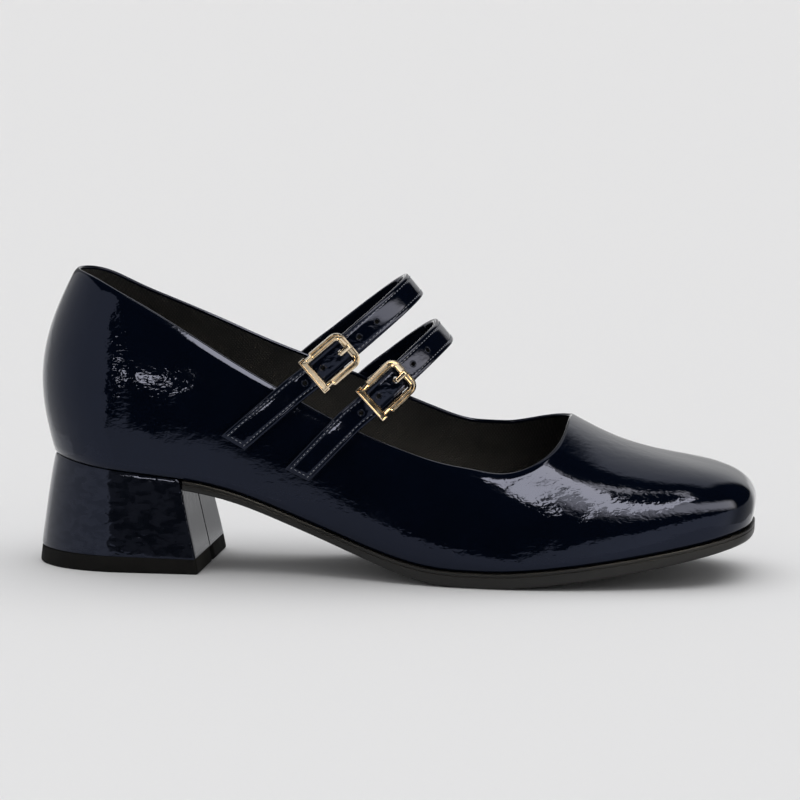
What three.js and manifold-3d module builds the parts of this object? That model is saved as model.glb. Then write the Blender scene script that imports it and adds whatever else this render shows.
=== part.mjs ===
// Mary jane pump, right shoe: patent-leather upper on a thin sole and a flared block heel,
// with two narrow buckled straps over the instep. Millimetres, +Z up, toe toward +X, outer side -Y.
// While it is being shaped, x runs from the bulge of the counter to the tip of the toe, and y = 0
// is the middle of the heel. The finished group is centred over its footprint.

import * as THREE from 'three';
import { mergeVertices } from 'three/addons/utils/BufferGeometryUtils.js';
import Module from 'manifold-3d';

const { clamp, degToRad, lerp, smoothstep } = THREE.MathUtils;
const wasm = await Module();
wasm.setup();

// Driving dimensions of the last
const shoeLength = 250; // bulge of the counter to the tip of the toe
const ballWidth = 78; // across the lower edge of the upper at the ball
const heelHeight = 36; // underside of the sole line at the back of the seat
const toeSpring = 15; // underside of the sole at the tip of the toe
const counterHeight = 65; // topline over the seat at the back seam
const instepHeight = 46.4; // ridge of the vamp over the sole at the throat

// Leather, board and rubber
const wall = 1.8; // upper leather with its lining
const marginWidth = 9; // lower margin turned in under the foot
const featherRadius = 0.9; // rounding where the wall turns into the margin
const soleThickness = 5.3; // outsole at the ball
const soleEdge = 0.8; // the outsole stands out past the upper
const soleBevel = 1.1; // lower edge of the outsole
const outsoleStart = 55; // just in front of the heel's breast
const insoleThickness = 2;
const insoleEase = 0.9; // the insole's edge stays this far inside the lining
const topPieceThickness = 5.8;
const clearance = 0.3; // between pieces that meet

// Heel block
const breastAtSeat = 53.6; // front face of the heel where it meets the upper
const breastAtFloor = 60.8;
const heelBackAtFloor = -0.9;
const heelHollow = 0.8; // power of the flare at the back of the block, 1 at its breast
const heelWidthAtFloor = 54.8;
const seatInset = 0.4; // the block's top stays inside the lower edge of the upper
const topPieceInset = 0.25;

// Straps and buckles
const strapWidth = 8.4;
const strapThickness = 2;
const strapBevel = 0.45;
const tipSkew = 20; // degrees, the strap ends are cut aslant
const archPower = 2.3; // the legs of the arch stay near to each other's side, its top is round
const holePitch = 7.9;
const holeRadius = 0.9;
const prongHoleRadius = 1.4;
const wallEase = 0.25; // the flat strap stands off the round wall by this
const leaveRun = 11; // the strap leaves the wall over this length
const buckleUp = 18.1; // middle of the frame over the topline, along the strap
const frameWidth = 14; // across the strap, outside
const frameLength = 17.6; // along the strap, outside
const frameBar = 1.9; // width of the metal seen from above
const frameHeight = 1.8;
const buckleSlack = 0.55; // the prong's arm lies this far under the strap
const frameCorner = 3.6;
const keeperLength = 13.9;
const neckLength = 2.3; // the frame's legs grow thinner before the keeper bar
const neckInset = 0.8;
const hingeRadius = 0.7;
const hingeBack = 1; // the hinge bar lies behind the middle of the frame
const earHalf = 1.1; // half the length of the ears that hold the hinge bar
const prongWidth = 1.6;
const prongHeight = 1.1;
const prongReach = 2.1; // from the middle of its hole to the far bar of the frame
const prongCurl = 0.6; // metal round the hinge bar
const notchDepth = 0.8; // the prong's tip sinks into the far bar of the frame

// The two straps. outerAt and innerAt: where they cross the topline, shares of shoeLength.
// outerSlope, innerSlope and archSlope: degrees over the level, seen from the side.
// tab: length stitched down on the wall. reach: top of the arch over the line of the crossings.
// bow: how far the outer leg bends back.
const straps = [
  { name: 'rear', outerAt: 0.3737, innerAt: 0.377, outerSlope: 40.4, innerSlope: 39, archSlope: 39.2,
    tab: 25.9, reach: 47.7, bow: 0.4 },
  { name: 'front', outerAt: 0.4535, innerAt: 0.456, outerSlope: 45.6, innerSlope: 40, archSlope: 39.6,
    tab: 24.6, reach: 35.7, bow: 1.2 },
];

// Places along the last
const outlineStart = 5; // the counter swells past the lower edge at the back
const outlineEnd = 249.3;
const heelCap = 28; // rounded back of the outline
const toeCap = 28; // rounded front of the outline
const heelCapPower = 2.1;
const toeCapPower = 3.1; // the toe is squared
const heelPole = 30; // the ribs of the counter fan out from here
const toePole = 228; // and those of the toe from here
const heelBlend = 16;
const toeBlend = 16;
const throatAt = 187.5; // foot of the rib where the vamp closes
const throatRun = 25.5; // the topline turns in toward the throat over this length
const throatCrowd = 2.4; // the ribs stand closer and closer toward the throat
const throatOuter = { power: 1.7, ease: 0.59 }; // a round corner on the outer side
const throatInner = { power: 1.05, ease: 0.95 }; // a longer slope on the inner side
const treadStart = 150; // flat stretch of the sole on the floor
const treadEnd = 162;
const springPower = 1.55;

// Sections of the last. at: share of shoeLength. half and bow: half width and middle line of the
// lower edge, shares of ballWidth. ridge: how far the crown lies inward of the middle line, share
// of ballWidth. bulgeOut and bulgeIn: swell of the outer and the inner wall, shares of ballWidth.
// lean: height at which the swell ends. rise: sole line, share of heelHeight. sole: share of
// soleThickness. back and front: height of the crown over the seat, shares of counterHeight and
// instepHeight. square: power of the rib. outerTop and innerTop: topline as a share of the
// crown's height, behind the throat.
const columns = ['at', 'half', 'bow', 'ridge', 'bulgeOut', 'bulgeIn', 'lean', 'rise', 'sole', 'back',
  'front', 'square', 'outerTop', 'innerTop'];
const sections = [
  [0.02, 0.315, 0, 0, 0.064, 0.064, 0.65, 0.99, 0.66, 1.4, 0, 2.2, 0.715, 0.715],
  [0.072, 0.32, 0, 0, 0.064, 0.064, 0.65, 0.925, 0.66, 1.43, 0, 2.2, 0.7, 0.69],
  [0.12, 0.321, 0, 0, 0.06, 0.06, 0.67, 0.88, 0.66, 1.455, 0, 2.2, 0.66, 0.64],
  [0.18, 0.322, -0.002, 0, 0.053, 0.055, 0.7, 0.835, 0.66, 1.46, 0, 2.2, 0.602, 0.594],
  [0.24, 0.318, -0.007, 0.003, 0.05, 0.055, 0.74, 0.785, 0.66, 1.42, 0.026, 2.2, 0.54, 0.556],
  [0.3, 0.306, -0.016, 0.01, 0.053, 0.064, 0.8, 0.68, 0.66, 1.3, 0.14, 2.2, 0.498, 0.541],
  [0.36, 0.3, -0.026, 0.02, 0.059, 0.077, 0.87, 0.52, 0.67, 1.14, 0.332, 2.2, 0.479, 0.55],
  [0.42, 0.318, -0.033, 0.031, 0.062, 0.08, 0.94, 0.36, 0.7, 0.9, 0.62, 2.2, 0.466, 0.566],
  [0.48, 0.36, -0.035, 0.042, 0.056, 0.07, 0.99, 0.2, 0.76, 0.62, 0.92, 2.2, 0.477, 0.578],
  [0.54, 0.414, -0.034, 0.052, 0.043, 0.053, 1, 0.063, 0.9, 0.33, 1.208, 2.2, 0.495, 0.59],
  [0.6, 0.46, -0.03, 0.06, 0.031, 0.038, 1, 0, 1, 0.12, 1.345, 2.2, 0.513, 0.597],
  [0.648, 0.486, -0.024, 0.064, 0.023, 0.028, 1, 0, 1, 0.03, 1.3, 2.2, 0.545, 0.66],
  [0.7, 0.5, -0.014, 0.065, 0.019, 0.021, 1, 0, 0.98, 0, 1.16, 2.2, 0.545, 0.66],
  [0.748, 0.498, -0.006, 0.063, 0.018, 0.019, 1, 0, 0.98, 0, 0.991, 2.2, 0.545, 0.66],
  [0.8, 0.482, 0.001, 0.058, 0.018, 0.019, 1, 0, 0.96, 0, 0.81, 2.25, 0.545, 0.66],
  [0.86, 0.448, 0.008, 0.048, 0.018, 0.019, 1, 0, 0.92, 0, 0.66, 2.4, 0.545, 0.66],
  [0.92, 0.398, 0.016, 0.034, 0.017, 0.018, 1, 0, 0.86, 0, 0.537, 2.7, 0.545, 0.66],
  [1, 0.33, 0.024, 0.015, 0.018, 0.018, 1, 0, 0.8, 0, 0.358, 3.1, 0.545, 0.66],
];

// Smooth curve through one column, level between two equal values
function columnCurve(name) {
  const column = columns.indexOf(name);
  const places = sections.map((row) => row[0] * shoeLength);
  const values = sections.map((row) => row[column]);
  const steps = places.slice(1).map((place, i) => place - places[i]);
  const slopes = steps.map((step, i) => (values[i + 1] - values[i]) / step);
  const tangents = values.map((_, i) => {
    const before = slopes[Math.max(i - 1, 0)];
    const after = slopes[Math.min(i, slopes.length - 1)];
    if (before === 0 || after === 0) return 0;
    const left = steps[Math.max(i - 1, 0)];
    const right = steps[Math.min(i, steps.length - 1)];
    return (before * right + after * left) / (left + right);
  });
  return (x) => {
    const last = steps.length - 1;
    let i = places.findIndex((place, k) => k > 0 && x < place) - 1;
    if (i < 0) i = x < places[0] ? 0 : last;
    const t = clamp((x - places[i]) / steps[i], 0, 1);
    const rest = 1 - t;
    return values[i] * (1 + 2 * t) * rest * rest + values[i + 1] * (3 - 2 * t) * t * t
      + steps[i] * (tangents[i] * t * rest * rest - tangents[i + 1] * t * t * rest);
  };
}
const curve = Object.fromEntries(columns.slice(1).map((name) => [name, columnCurve(name)]));

// Heights of the sole line and of the crown
function undersideAt(x) {
  const spring = Math.max(0, (x - treadEnd) / (shoeLength - treadEnd)) ** springPower;
  return heelHeight * curve.rise(x) + toeSpring * spring;
}
const seatAt = (x) => undersideAt(x) + soleThickness * curve.sole(x);
const footAt = (x) => seatAt(x) + clearance;
const crownAt = (x) => footAt(x) + counterHeight * curve.back(x) + instepHeight * curve.front(x);

// Smooth limits for the line of poles that the ribs start from
function poleAt(x) {
  const fromHeel = (x + heelPole + Math.hypot(x - heelPole, heelBlend)) / 2;
  return (fromHeel + toePole - Math.hypot(fromHeel - toePole, toeBlend)) / 2;
}

// Unit point of a superellipse at an angle
function superPoint(angle, power) {
  const c = Math.max(0, Math.cos(angle));
  const s = Math.max(0, Math.sin(angle));
  const size = (c ** power + s ** power) ** (1 / power);
  return { along: c / size, up: s / size };
}

// A place on the lower outline: x and the share of the half width there
function outlinePlace(x) {
  if (x < outlineStart + heelCap) {
    const reach = 1 - Math.max(0, x - outlineStart) / heelCap;
    return { x, share: Math.max(0, 1 - reach ** heelCapPower) ** (1 / heelCapPower) };
  }
  const reach = clamp((x - (outlineEnd - toeCap)) / toeCap, 0, 1);
  return { x, share: Math.max(0, 1 - reach ** toeCapPower) ** (1 / toeCapPower) };
}

// Point of the lower outline on one side, -1 outer and 1 inner
function outlineSpot({ x, share }, side) {
  return new THREE.Vector2(x, ballWidth * (curve.bow(x) + side * curve.half(x) * share));
}

// Topline on one side as a share of the crown's height, 1 where the vamp is closed
function toplineAt(x, side) {
  const { power, ease } = side < 0 ? throatOuter : throatInner;
  const behind = (side < 0 ? curve.outerTop : curve.innerTop)(x);
  const t = clamp(1 - (throatAt - x) / throatRun, 0, 1);
  return 1 - (1 - behind) * (1 - t ** power) ** ease;
}

// One rib of the last on one side, from the lower edge up to its pole
function ribAt(place, side) {
  const { x, share } = place;
  const poleX = poleAt(x);
  const pole = new THREE.Vector2(poleX, ballWidth * (curve.bow(poleX) + curve.ridge(poleX)));
  const reach = outlineSpot(place, side).sub(pole);
  const inner = (1 + side * share) / 2;
  const bulge = ballWidth * lerp(curve.bulgeOut(x), curve.bulgeIn(x), inner);
  const top = lerp(toplineAt(x, -1), toplineAt(x, 1), inner);
  return {
    x, side, pole, bulge, top, run: reach.length(), away: reach.normalize(), foot: footAt(x),
    lean: curve.lean(x), power: curve.square(x),
  };
}

// Point of a rib at a share of the crown's height, inset from the outside of the leather
function ribPoint(rib, height, inset = 0) {
  const along = Math.max(0, 1 - height ** rib.power) ** (1 / rib.power);
  const swell = rib.bulge * Math.sin(Math.PI * height / rib.lean);
  const out = (rib.run - inset) * along + swell;
  const x = rib.pole.x + rib.away.x * out;
  const y = rib.pole.y + rib.away.y * out;
  return new THREE.Vector3(x, y, rib.foot + (crownAt(x) - inset - rib.foot) * height);
}

// Shares of the crown's height from one height to another, evenly round the rib
function ribHeights(rib, from, to, count) {
  const angleOf = (h) => Math.atan2(h, Math.max(0, 1 - h ** rib.power) ** (1 / rib.power));
  const start = angleOf(from);
  const end = angleOf(to);
  return Array.from({ length: count + 1 }, (_, i) => {
    if (i === 0) return from;
    if (i === count) return to;
    return superPoint(start + (end - start) * i / count, rib.power).up;
  });
}

// Places of the ribs from the back seam to the tip of the toe
function outlinePlaces() {
  const places = [];
  const heelSteps = 7;
  for (let i = 0; i < heelSteps; i++) {
    const { along, up } = superPoint(Math.PI / 2 * i / heelSteps, heelCapPower);
    places.push({ x: outlineStart + heelCap * (1 - along), share: up });
  }
  const spread = (from, to, count, ease) => {
    for (let i = 0; i < count; i++) places.push(outlinePlace(from + (to - from) * ease(i / count)));
  };
  spread(outlineStart + heelCap, treadStart, 11, (t) => t);
  spread(treadStart, treadEnd, 1, (t) => t);
  spread(treadEnd, throatAt, 8, (t) => 1 - (1 - t) ** throatCrowd);
  spread(throatAt, outlineEnd - toeCap, 5, (t) => t);
  const toeSteps = 8;
  for (let i = 0; i <= toeSteps; i++) {
    const { along, up } = superPoint(Math.PI / 2 * i / toeSteps, toeCapPower);
    places.push({ x: outlineEnd - toeCap * (1 - up), share: along });
  }
  return places;
}

// Triangles of the quads between rows of points; a skipped column leaves its quads out
function skin(rows, skipped = () => false) {
  const triangles = [];
  for (let i = 0; i + 1 < rows.length; i++) {
    for (let j = 0; j + 1 < rows[i].length; j++) {
      if (skipped(i, j)) continue;
      const [a, b, c, d] = [rows[i][j], rows[i + 1][j], rows[i + 1][j + 1], rows[i][j + 1]];
      triangles.push([a, b, c], [a, c, d]);
    }
  }
  return triangles;
}

// Fan over a flat loop of points
function fan(loop) {
  return loop.slice(1, -1).map((point, i) => [loop[0], point, loop[i + 2]]);
}

const weld = 1e-3; // corners nearer than this are one

// Closed geometry from triangles, with shared corners and the faces outward
function closedGeometry(triangles) {
  const raw = new THREE.BufferGeometry();
  const numbers = triangles.flat().flatMap((point) => [point.x, point.y, point.z]);
  raw.setAttribute('position', new THREE.Float32BufferAttribute(numbers, 3));
  const merged = mergeVertices(raw, weld);
  const index = merged.getIndex().array;
  const position = merged.getAttribute('position');
  const corner = (i) => new THREE.Vector3().fromBufferAttribute(position, i);
  const kept = [];
  let volume = 0;
  for (let i = 0; i < index.length; i += 3) {
    const [a, b, c] = [index[i], index[i + 1], index[i + 2]];
    if (a === b || b === c || c === a) continue;
    kept.push([a, b, c]);
    volume += corner(a).dot(corner(b).cross(corner(c)));
  }
  merged.setIndex(kept.flatMap(([a, b, c]) => (volume > 0 ? [a, b, c] : [a, c, b])));
  return merged;
}

// Upper: the outer wall, the rim of the topline, the inner wall and the turned-in margin
function upperGeometry() {
  const outerSteps = 12;
  const innerSteps = 8;
  const places = outlinePlaces();
  const profile = (rib) => {
    const depth = crownAt(rib.x) - rib.foot;
    const outer = ribHeights(rib, featherRadius / depth, rib.top, outerSteps)
      .map((height) => ribPoint(rib, height));
    const inner = ribHeights(rib, wall / (depth - wall), rib.top, innerSteps).reverse()
      .map((height) => ribPoint(rib, height, wall));
    const level = (back, rise) => {
      const x = rib.pole.x + rib.away.x * (rib.run - back);
      return new THREE.Vector3(x, rib.pole.y + rib.away.y * (rib.run - back), footAt(x) + rise);
    };
    const feather = level(featherRadius * 0.25, featherRadius * 0.3); // middle of the rounding
    return [level(featherRadius, 0), feather, ...outer,
      ...inner, level(wall + featherRadius, wall), level(marginWidth, wall), level(marginWidth, 0),
      level(featherRadius, 0)];
  };
  const rimColumn = 2 + outerSteps;
  const closedFrom = places.findIndex((place) => place.x >= throatAt);
  const sides = [-1, 1].map((side) => places.map((place) => profile(ribAt(place, side))));
  const covered = (i, j) => j === rimColumn && i >= closedFrom;
  const outerSide = skin(sides[0], covered);
  const innerSide = skin(sides[1], covered).map(([a, b, c]) => [a, c, b]);
  return closedGeometry([...outerSide, ...innerSide]);
}

// A plate under the foot: edge(place, side) gives its edge from the top down
function plateGeometry(places, edge) {
  const loops = places.map((place) => {
    const outer = edge(place, -1);
    const inner = edge(place, 1).reverse();
    return [...outer, ...inner, outer[0]];
  });
  const triangles = skin(loops);
  triangles.push(...fan(loops[0].slice(0, -1)));
  return closedGeometry(triangles);
}

// Point beside the lower outline, square to it, on a surface with a height for each x
function besideOutline(place, side, outward, heightAt) {
  const foot = outlineSpot(place, side);
  const tangent = outlineTangent(place, side);
  const x = foot.x - side * outward * tangent.y;
  return new THREE.Vector3(x, foot.y + side * outward * tangent.x, heightAt(x));
}

// Direction of the outline toward the toe
function outlineTangent(place, side) {
  if (place.share < 1e-6) return new THREE.Vector2(0, place.x < throatAt ? side : -side);
  const step = Math.min(0.5, (place.x - outlineStart) / 2, (outlineEnd - place.x) / 2);
  const ahead = outlineSpot(outlinePlace(place.x + step), side);
  return ahead.sub(outlineSpot(outlinePlace(place.x - step), side)).normalize();
}

function insoleGeometry() {
  const setBack = wall + insoleEase;
  const under = (x) => footAt(x) + wall + clearance;
  const edge = (place, side) => [
    besideOutline(place, side, -setBack, (x) => under(x) + insoleThickness),
    besideOutline(place, side, -setBack, under),
  ];
  return plateGeometry(outlinePlaces(), edge);
}

function outsoleGeometry() {
  const further = outlinePlaces().filter((place) => place.x > outsoleStart + soleThickness / 2);
  const places = [outlinePlace(outsoleStart), ...further];
  const [turnIn, turnUp] = [soleBevel * 0.4, soleBevel * 0.35]; // middle of the rounded edge
  const edge = (place, side) => [
    besideOutline(place, side, soleEdge, seatAt),
    besideOutline(place, side, soleEdge, (x) => undersideAt(x) + soleBevel),
    besideOutline(place, side, soleEdge - turnIn, (x) => undersideAt(x) + turnUp),
    besideOutline(place, side, soleEdge - soleBevel, undersideAt),
  ];
  return plateGeometry(places, edge);
}

// Loop round the heel block at a share of the way down from the seat to the floor
function heelLoop(down, inset) {
  const places = [];
  const steps = 7;
  for (let i = 0; i < steps; i++) {
    const { along, up } = superPoint(Math.PI / 2 * i / steps, heelCapPower);
    places.push({ x: outlineStart + heelCap * (1 - along), share: up });
  }
  const straight = 3;
  for (let i = 0; i <= straight; i++) {
    const x = lerp(outlineStart + heelCap, breastAtSeat, i / straight);
    places.push(outlinePlace(x));
  }
  const spot = (place, side) => {
    const edge = besideOutline(place, side, -seatInset, seatAt);
    const share = (place.x - outlineStart) / (breastAtSeat - outlineStart);
    const flare = down ** lerp(heelHollow, 1, share);
    const floorX = lerp(heelBackAtFloor, breastAtFloor, share);
    const wide = heelWidthAtFloor / 2 / (ballWidth * curve.half(breastAtSeat) - seatInset);
    const x = lerp(edge.x, floorX, flare);
    const y = lerp(edge.y, edge.y * wide, flare);
    const middle = (heelBackAtFloor + breastAtFloor) / 2;
    return new THREE.Vector3(
      middle + (x - middle) * (1 - inset * 2 / (breastAtFloor - heelBackAtFloor)),
      y * (1 - inset * 2 / heelWidthAtFloor),
      edge.z * (1 - down),
    );
  };
  const outer = places.map((place) => spot(place, -1));
  const inner = places.slice(1).map((place) => spot(place, 1)).reverse();
  return [...outer, ...inner];
}

// Block between two loops; both ends are planked across from one side to the other
function blockGeometry(loops) {
  const ring = loops.map((loop) => [...loop, loop[0]]);
  const triangles = skin(ring);
  for (const [loop, flip] of [[loops[0], true], [loops.at(-1), false]]) {
    const count = loop.length;
    const half = (count - 1) / 2;
    const outer = loop.slice(0, half + 1);
    const inner = [loop[0], ...loop.slice(half + 1).reverse()];
    const planks = skin([outer, inner]);
    triangles.push(...planks.map(([a, b, c]) => (flip ? [a, c, b] : [a, b, c])));
  }
  return closedGeometry(triangles);
}

function heelGeometry() {
  const levels = 4;
  const seat = seatAt(0);
  const lowest = 1 - (topPieceThickness + clearance) / seat;
  const loops = Array.from({ length: levels + 1 }, (_, i) => heelLoop(lowest * i / levels, 0));
  const floor = topPieceThickness + clearance;
  for (const point of loops.at(-1)) point.z = floor;
  return blockGeometry(loops);
}

function topPieceGeometry() {
  const share = topPieceThickness / seatAt(0);
  const upper = heelLoop(1 - share, topPieceInset);
  for (const point of upper) point.z = topPieceThickness;
  return blockGeometry([upper, heelLoop(1, topPieceInset)]);
}

// Solid of a closed geometry, for joining and cutting
function solidOf(geometry) {
  const bare = geometry.clone();
  bare.deleteAttribute('normal');
  bare.deleteAttribute('uv');
  const merged = mergeVertices(bare, weld / 10);
  return new wasm.Manifold(new wasm.Mesh({
    numProp: 3,
    vertProperties: merged.getAttribute('position').array,
    triVerts: Uint32Array.from(merged.getIndex().array),
  }));
}

function geometryOf(solid) {
  const { vertProperties, triVerts } = solid.getMesh();
  const geometry = new THREE.BufferGeometry();
  geometry.setAttribute('position', new THREE.Float32BufferAttribute(vertProperties, 3));
  geometry.setIndex(Array.from(triVerts));
  return geometry;
}

// Point of the wall at an x and a height, moved out of the leather by a distance
function wallPoint(side, x, z, out) {
  const spot = (atX, atZ) => {
    let foot = atX;
    let point;
    for (let turn = 0; turn < 10; turn++) {
      const rib = ribAt(outlinePlace(foot), side);
      let [low, high] = [0, 0.95];
      for (let halving = 0; halving < 30; halving++) {
        const height = (low + high) / 2;
        point = ribPoint(rib, height);
        if (point.z < atZ) low = height;
        else high = height;
      }
      foot += atX - point.x;
    }
    return point;
  };
  const at = spot(x, z);
  const forward = spot(x + 1, z).sub(at);
  const upward = spot(x, z + 1).sub(at);
  return at.addScaledVector(forward.cross(upward).normalize(), -side * out);
}

// The free arch of a strap between its two crossings of the topline
function archOf(strap, outerFoot, innerFoot) {
  const middle = outerFoot.clone().add(innerFoot).divideScalar(2);
  const half = innerFoot.clone().sub(middle);
  const slope = degToRad(strap.archSlope);
  const rise = new THREE.Vector3(Math.cos(slope), 0, Math.sin(slope)).multiplyScalar(strap.reach);
  const across = half.clone().cross(rise).normalize();
  const pointAt = (angle) => {
    const flip = angle > Math.PI / 2;
    const { along, up } = superPoint(flip ? Math.PI - angle : angle, archPower);
    const bent = flip ? 0 : strap.bow * Math.sin(2 * angle);
    return middle.clone().addScaledVector(half, flip ? along : -along).addScaledVector(rise, up)
      .addScaledVector(across, -bent);
  };
  const frameAt = (angle) => {
    const step = 0.01;
    const before = pointAt(Math.max(angle - step, 0));
    const forward = pointAt(Math.min(angle + step, Math.PI)).sub(before).normalize();
    const outward = across.clone().cross(forward).normalize();
    return { origin: pointAt(angle), forward, across: forward.clone().cross(outward), outward };
  };
  // Angles and lengths from the outer crossing on
  const steps = 300;
  const marks = [{ angle: 0, length: 0 }];
  for (let i = 1; i <= steps; i++) {
    const angle = Math.PI * i / steps;
    const grown = pointAt(angle).distanceTo(pointAt(marks[i - 1].angle));
    marks.push({ angle, length: marks[i - 1].length + grown });
  }
  const total = marks.at(-1).length;
  const frameAfter = (length) => frameAt(marks.find((mark) => mark.length >= length).angle);
  return { total, frameAfter };
}

// Sections of a strap from its outer tip over the arch to its inner tip. Each section gives the
// point at a distance across the strap (forward is plus) and a distance out of its inner face.
function strapSections(strap) {
  const crossing = (side, at) => {
    const rib = ribAt(outlinePlace(at * shoeLength), side);
    return ribPoint(rib, rib.top);
  };
  const outerCross = crossing(-1, strap.outerAt);
  const innerCross = crossing(1, strap.innerAt);
  // On the wall, at a length past the crossing; the tips are cut aslant
  const onWall = (side, cross, slope, past) => (across, out) => {
    const [ahead, up] = [Math.cos(degToRad(slope)), Math.sin(degToRad(slope))];
    const slant = Math.max(-past / strap.tab, 0) * Math.tan(degToRad(tipSkew));
    const along = past + across * slant;
    const x = cross.x + along * ahead + across * up;
    const z = cross.z + along * up - across * ahead;
    return wallPoint(side, x, z, clearance + wallEase + out);
  };
  const outerFoot = wallPoint(-1, outerCross.x, outerCross.z, clearance);
  const innerFoot = wallPoint(1, innerCross.x, innerCross.z, clearance);
  const arch = archOf(strap, outerFoot, innerFoot);
  // In the air, leaving the wall little by little
  const inAir = (length) => {
    const frame = arch.frameAfter(length);
    const nearOuter = length < arch.total / 2;
    const past = nearOuter ? length : arch.total - length;
    const wallSection = nearOuter
      ? onWall(-1, outerCross, strap.outerSlope, past)
      : onWall(1, innerCross, strap.innerSlope, past);
    return (across, out) => {
      const free = frame.origin.clone()
        .addScaledVector(frame.across, across).addScaledVector(frame.outward, out);
      if (past >= leaveRun) return free;
      return wallSection(across, out).lerp(free, smoothstep(past / leaveRun, 0, 1));
    };
  };
  const tabShares = [1, 0.8, 0.6, 0.4, 0.2, 0];
  const airSteps = 26;
  const sections = tabShares.map((share) => onWall(-1, outerCross, strap.outerSlope, -share * strap.tab));
  for (let i = 1; i < airSteps; i++) {
    const even = i / airSteps;
    const slowEnds = lerp(even, smoothstep(even, 0, 1), 0.4);
    sections.push(inAir(arch.total * slowEnds));
  }
  for (const share of tabShares.toReversed()) {
    sections.push(onWall(1, innerCross, strap.innerSlope, -share * strap.tab));
  }
  return { sections, frameAfter: arch.frameAfter };
}

// Turns local axes (along the strap, back across it, out of it) into the shoe's
function frameMatrix({ origin, forward, across, outward }) {
  return new THREE.Matrix4().makeBasis(forward, across.clone().negate(), outward).setPosition(origin);
}

function strapGeometry(sections, holes) {
  const [wide, thick, cut] = [strapWidth / 2, strapThickness, strapBevel];
  const corners = [
    [-wide + cut, 0], [wide - cut, 0], [wide, cut], [wide, thick - cut],
    [wide - cut, thick], [-wide + cut, thick], [-wide, thick - cut], [-wide, cut],
  ];
  const rows = sections.map((section) => corners.map(([across, out]) => section(across, out)));
  const rings = rows.map((row) => [...row, row[0]]);
  const ends = [...fan(rows[0]), ...fan(rows.at(-1)).map(([a, b, c]) => [a, c, b])];
  let strap = solidOf(closedGeometry([...skin(rings), ...ends]));
  for (const { frame, radius } of holes) {
    const hole = new THREE.CylinderGeometry(radius, radius, strapThickness * 2, 12);
    hole.translate(0, strapThickness / 2, 0);
    strap = strap.subtract(solidOf(hole.rotateX(Math.PI / 2).applyMatrix4(frameMatrix(frame))));
  }
  return geometryOf(strap);
}

// Box between two corners given as [along, across, out]
function boxBetween(low, high) {
  const size = high.map((value, i) => value - low[i]);
  const box = new THREE.BoxGeometry(...size);
  return box.translate(...low.map((value, i) => value + size[i] / 2));
}

const frameBase = strapThickness + clearance; // underside of the frame over the strap's inner face
const hingeOut = -(buckleSlack + prongCurl + clearance + hingeRadius); // under the strap

// Frame with its keeper bar across the strap and its hinge bar under it
function frameGeometry() {
  const [long, wide, round] = [frameLength / 2, frameWidth / 2, frameCorner];
  const outline = new THREE.Shape();
  const [neckAt, neckWide] = [-long + frameBar + neckLength, wide - neckInset];
  outline.moveTo(-long + frameBar / 2, -neckWide);
  outline.lineTo(neckAt, -neckWide);
  outline.lineTo(neckAt, -wide);
  outline.lineTo(long - round, -wide);
  outline.absarc(long - round, -wide + round, round, -Math.PI / 2, 0);
  outline.absarc(long - round, wide - round, round, 0, Math.PI / 2);
  outline.lineTo(neckAt, wide);
  outline.lineTo(neckAt, neckWide);
  outline.lineTo(-long + frameBar / 2, neckWide);
  const inside = new THREE.Path();
  const [innerLong, innerWide, innerRound] = [long - frameBar, wide - frameBar, round - frameBar];
  inside.moveTo(-innerLong, -innerWide);
  inside.lineTo(innerLong - innerRound, -innerWide);
  inside.absarc(innerLong - innerRound, -innerWide + innerRound, innerRound, -Math.PI / 2, 0);
  inside.absarc(innerLong - innerRound, innerWide - innerRound, innerRound, 0, Math.PI / 2);
  inside.lineTo(-innerLong, innerWide);
  outline.holes.push(inside);
  const options = { depth: frameHeight, bevelEnabled: false, curveSegments: 5 };
  const ring = new THREE.ExtrudeGeometry(outline, options).translate(0, 0, frameBase);
  const keeper = boxBetween([-long, -keeperLength / 2, frameBase],
    [-long + frameBar, keeperLength / 2, frameBase + frameHeight]);
  const ear = (side) => {
    const across = [side * innerWide, side * wide].sort((a, b) => a - b);
    return boxBetween([-hingeBack - earHalf, across[0], hingeOut - hingeRadius * 1.2],
      [-hingeBack + earHalf, across[1], frameBase + frameHeight / 2]);
  };
  const hinge = new THREE.CylinderGeometry(hingeRadius, hingeRadius, frameWidth - frameBar, 12)
    .translate(-hingeBack, 0, hingeOut);
  const [frameTop, notchHalf] = [frameBase + frameHeight, prongWidth / 2 + clearance];
  const notch = boxBetween([innerLong - frameBar, -notchHalf, frameTop - notchDepth],
    [long + frameBar, notchHalf, frameTop + frameHeight]);
  const joined = [keeper, ear(-1), ear(1), hinge]
    .reduce((whole, next) => whole.add(solidOf(next)), solidOf(ring));
  return geometryOf(joined.subtract(solidOf(notch)));
}

const prongHoleAt = frameLength / 2 - frameBar - prongReach; // ahead of the middle of the frame

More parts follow.
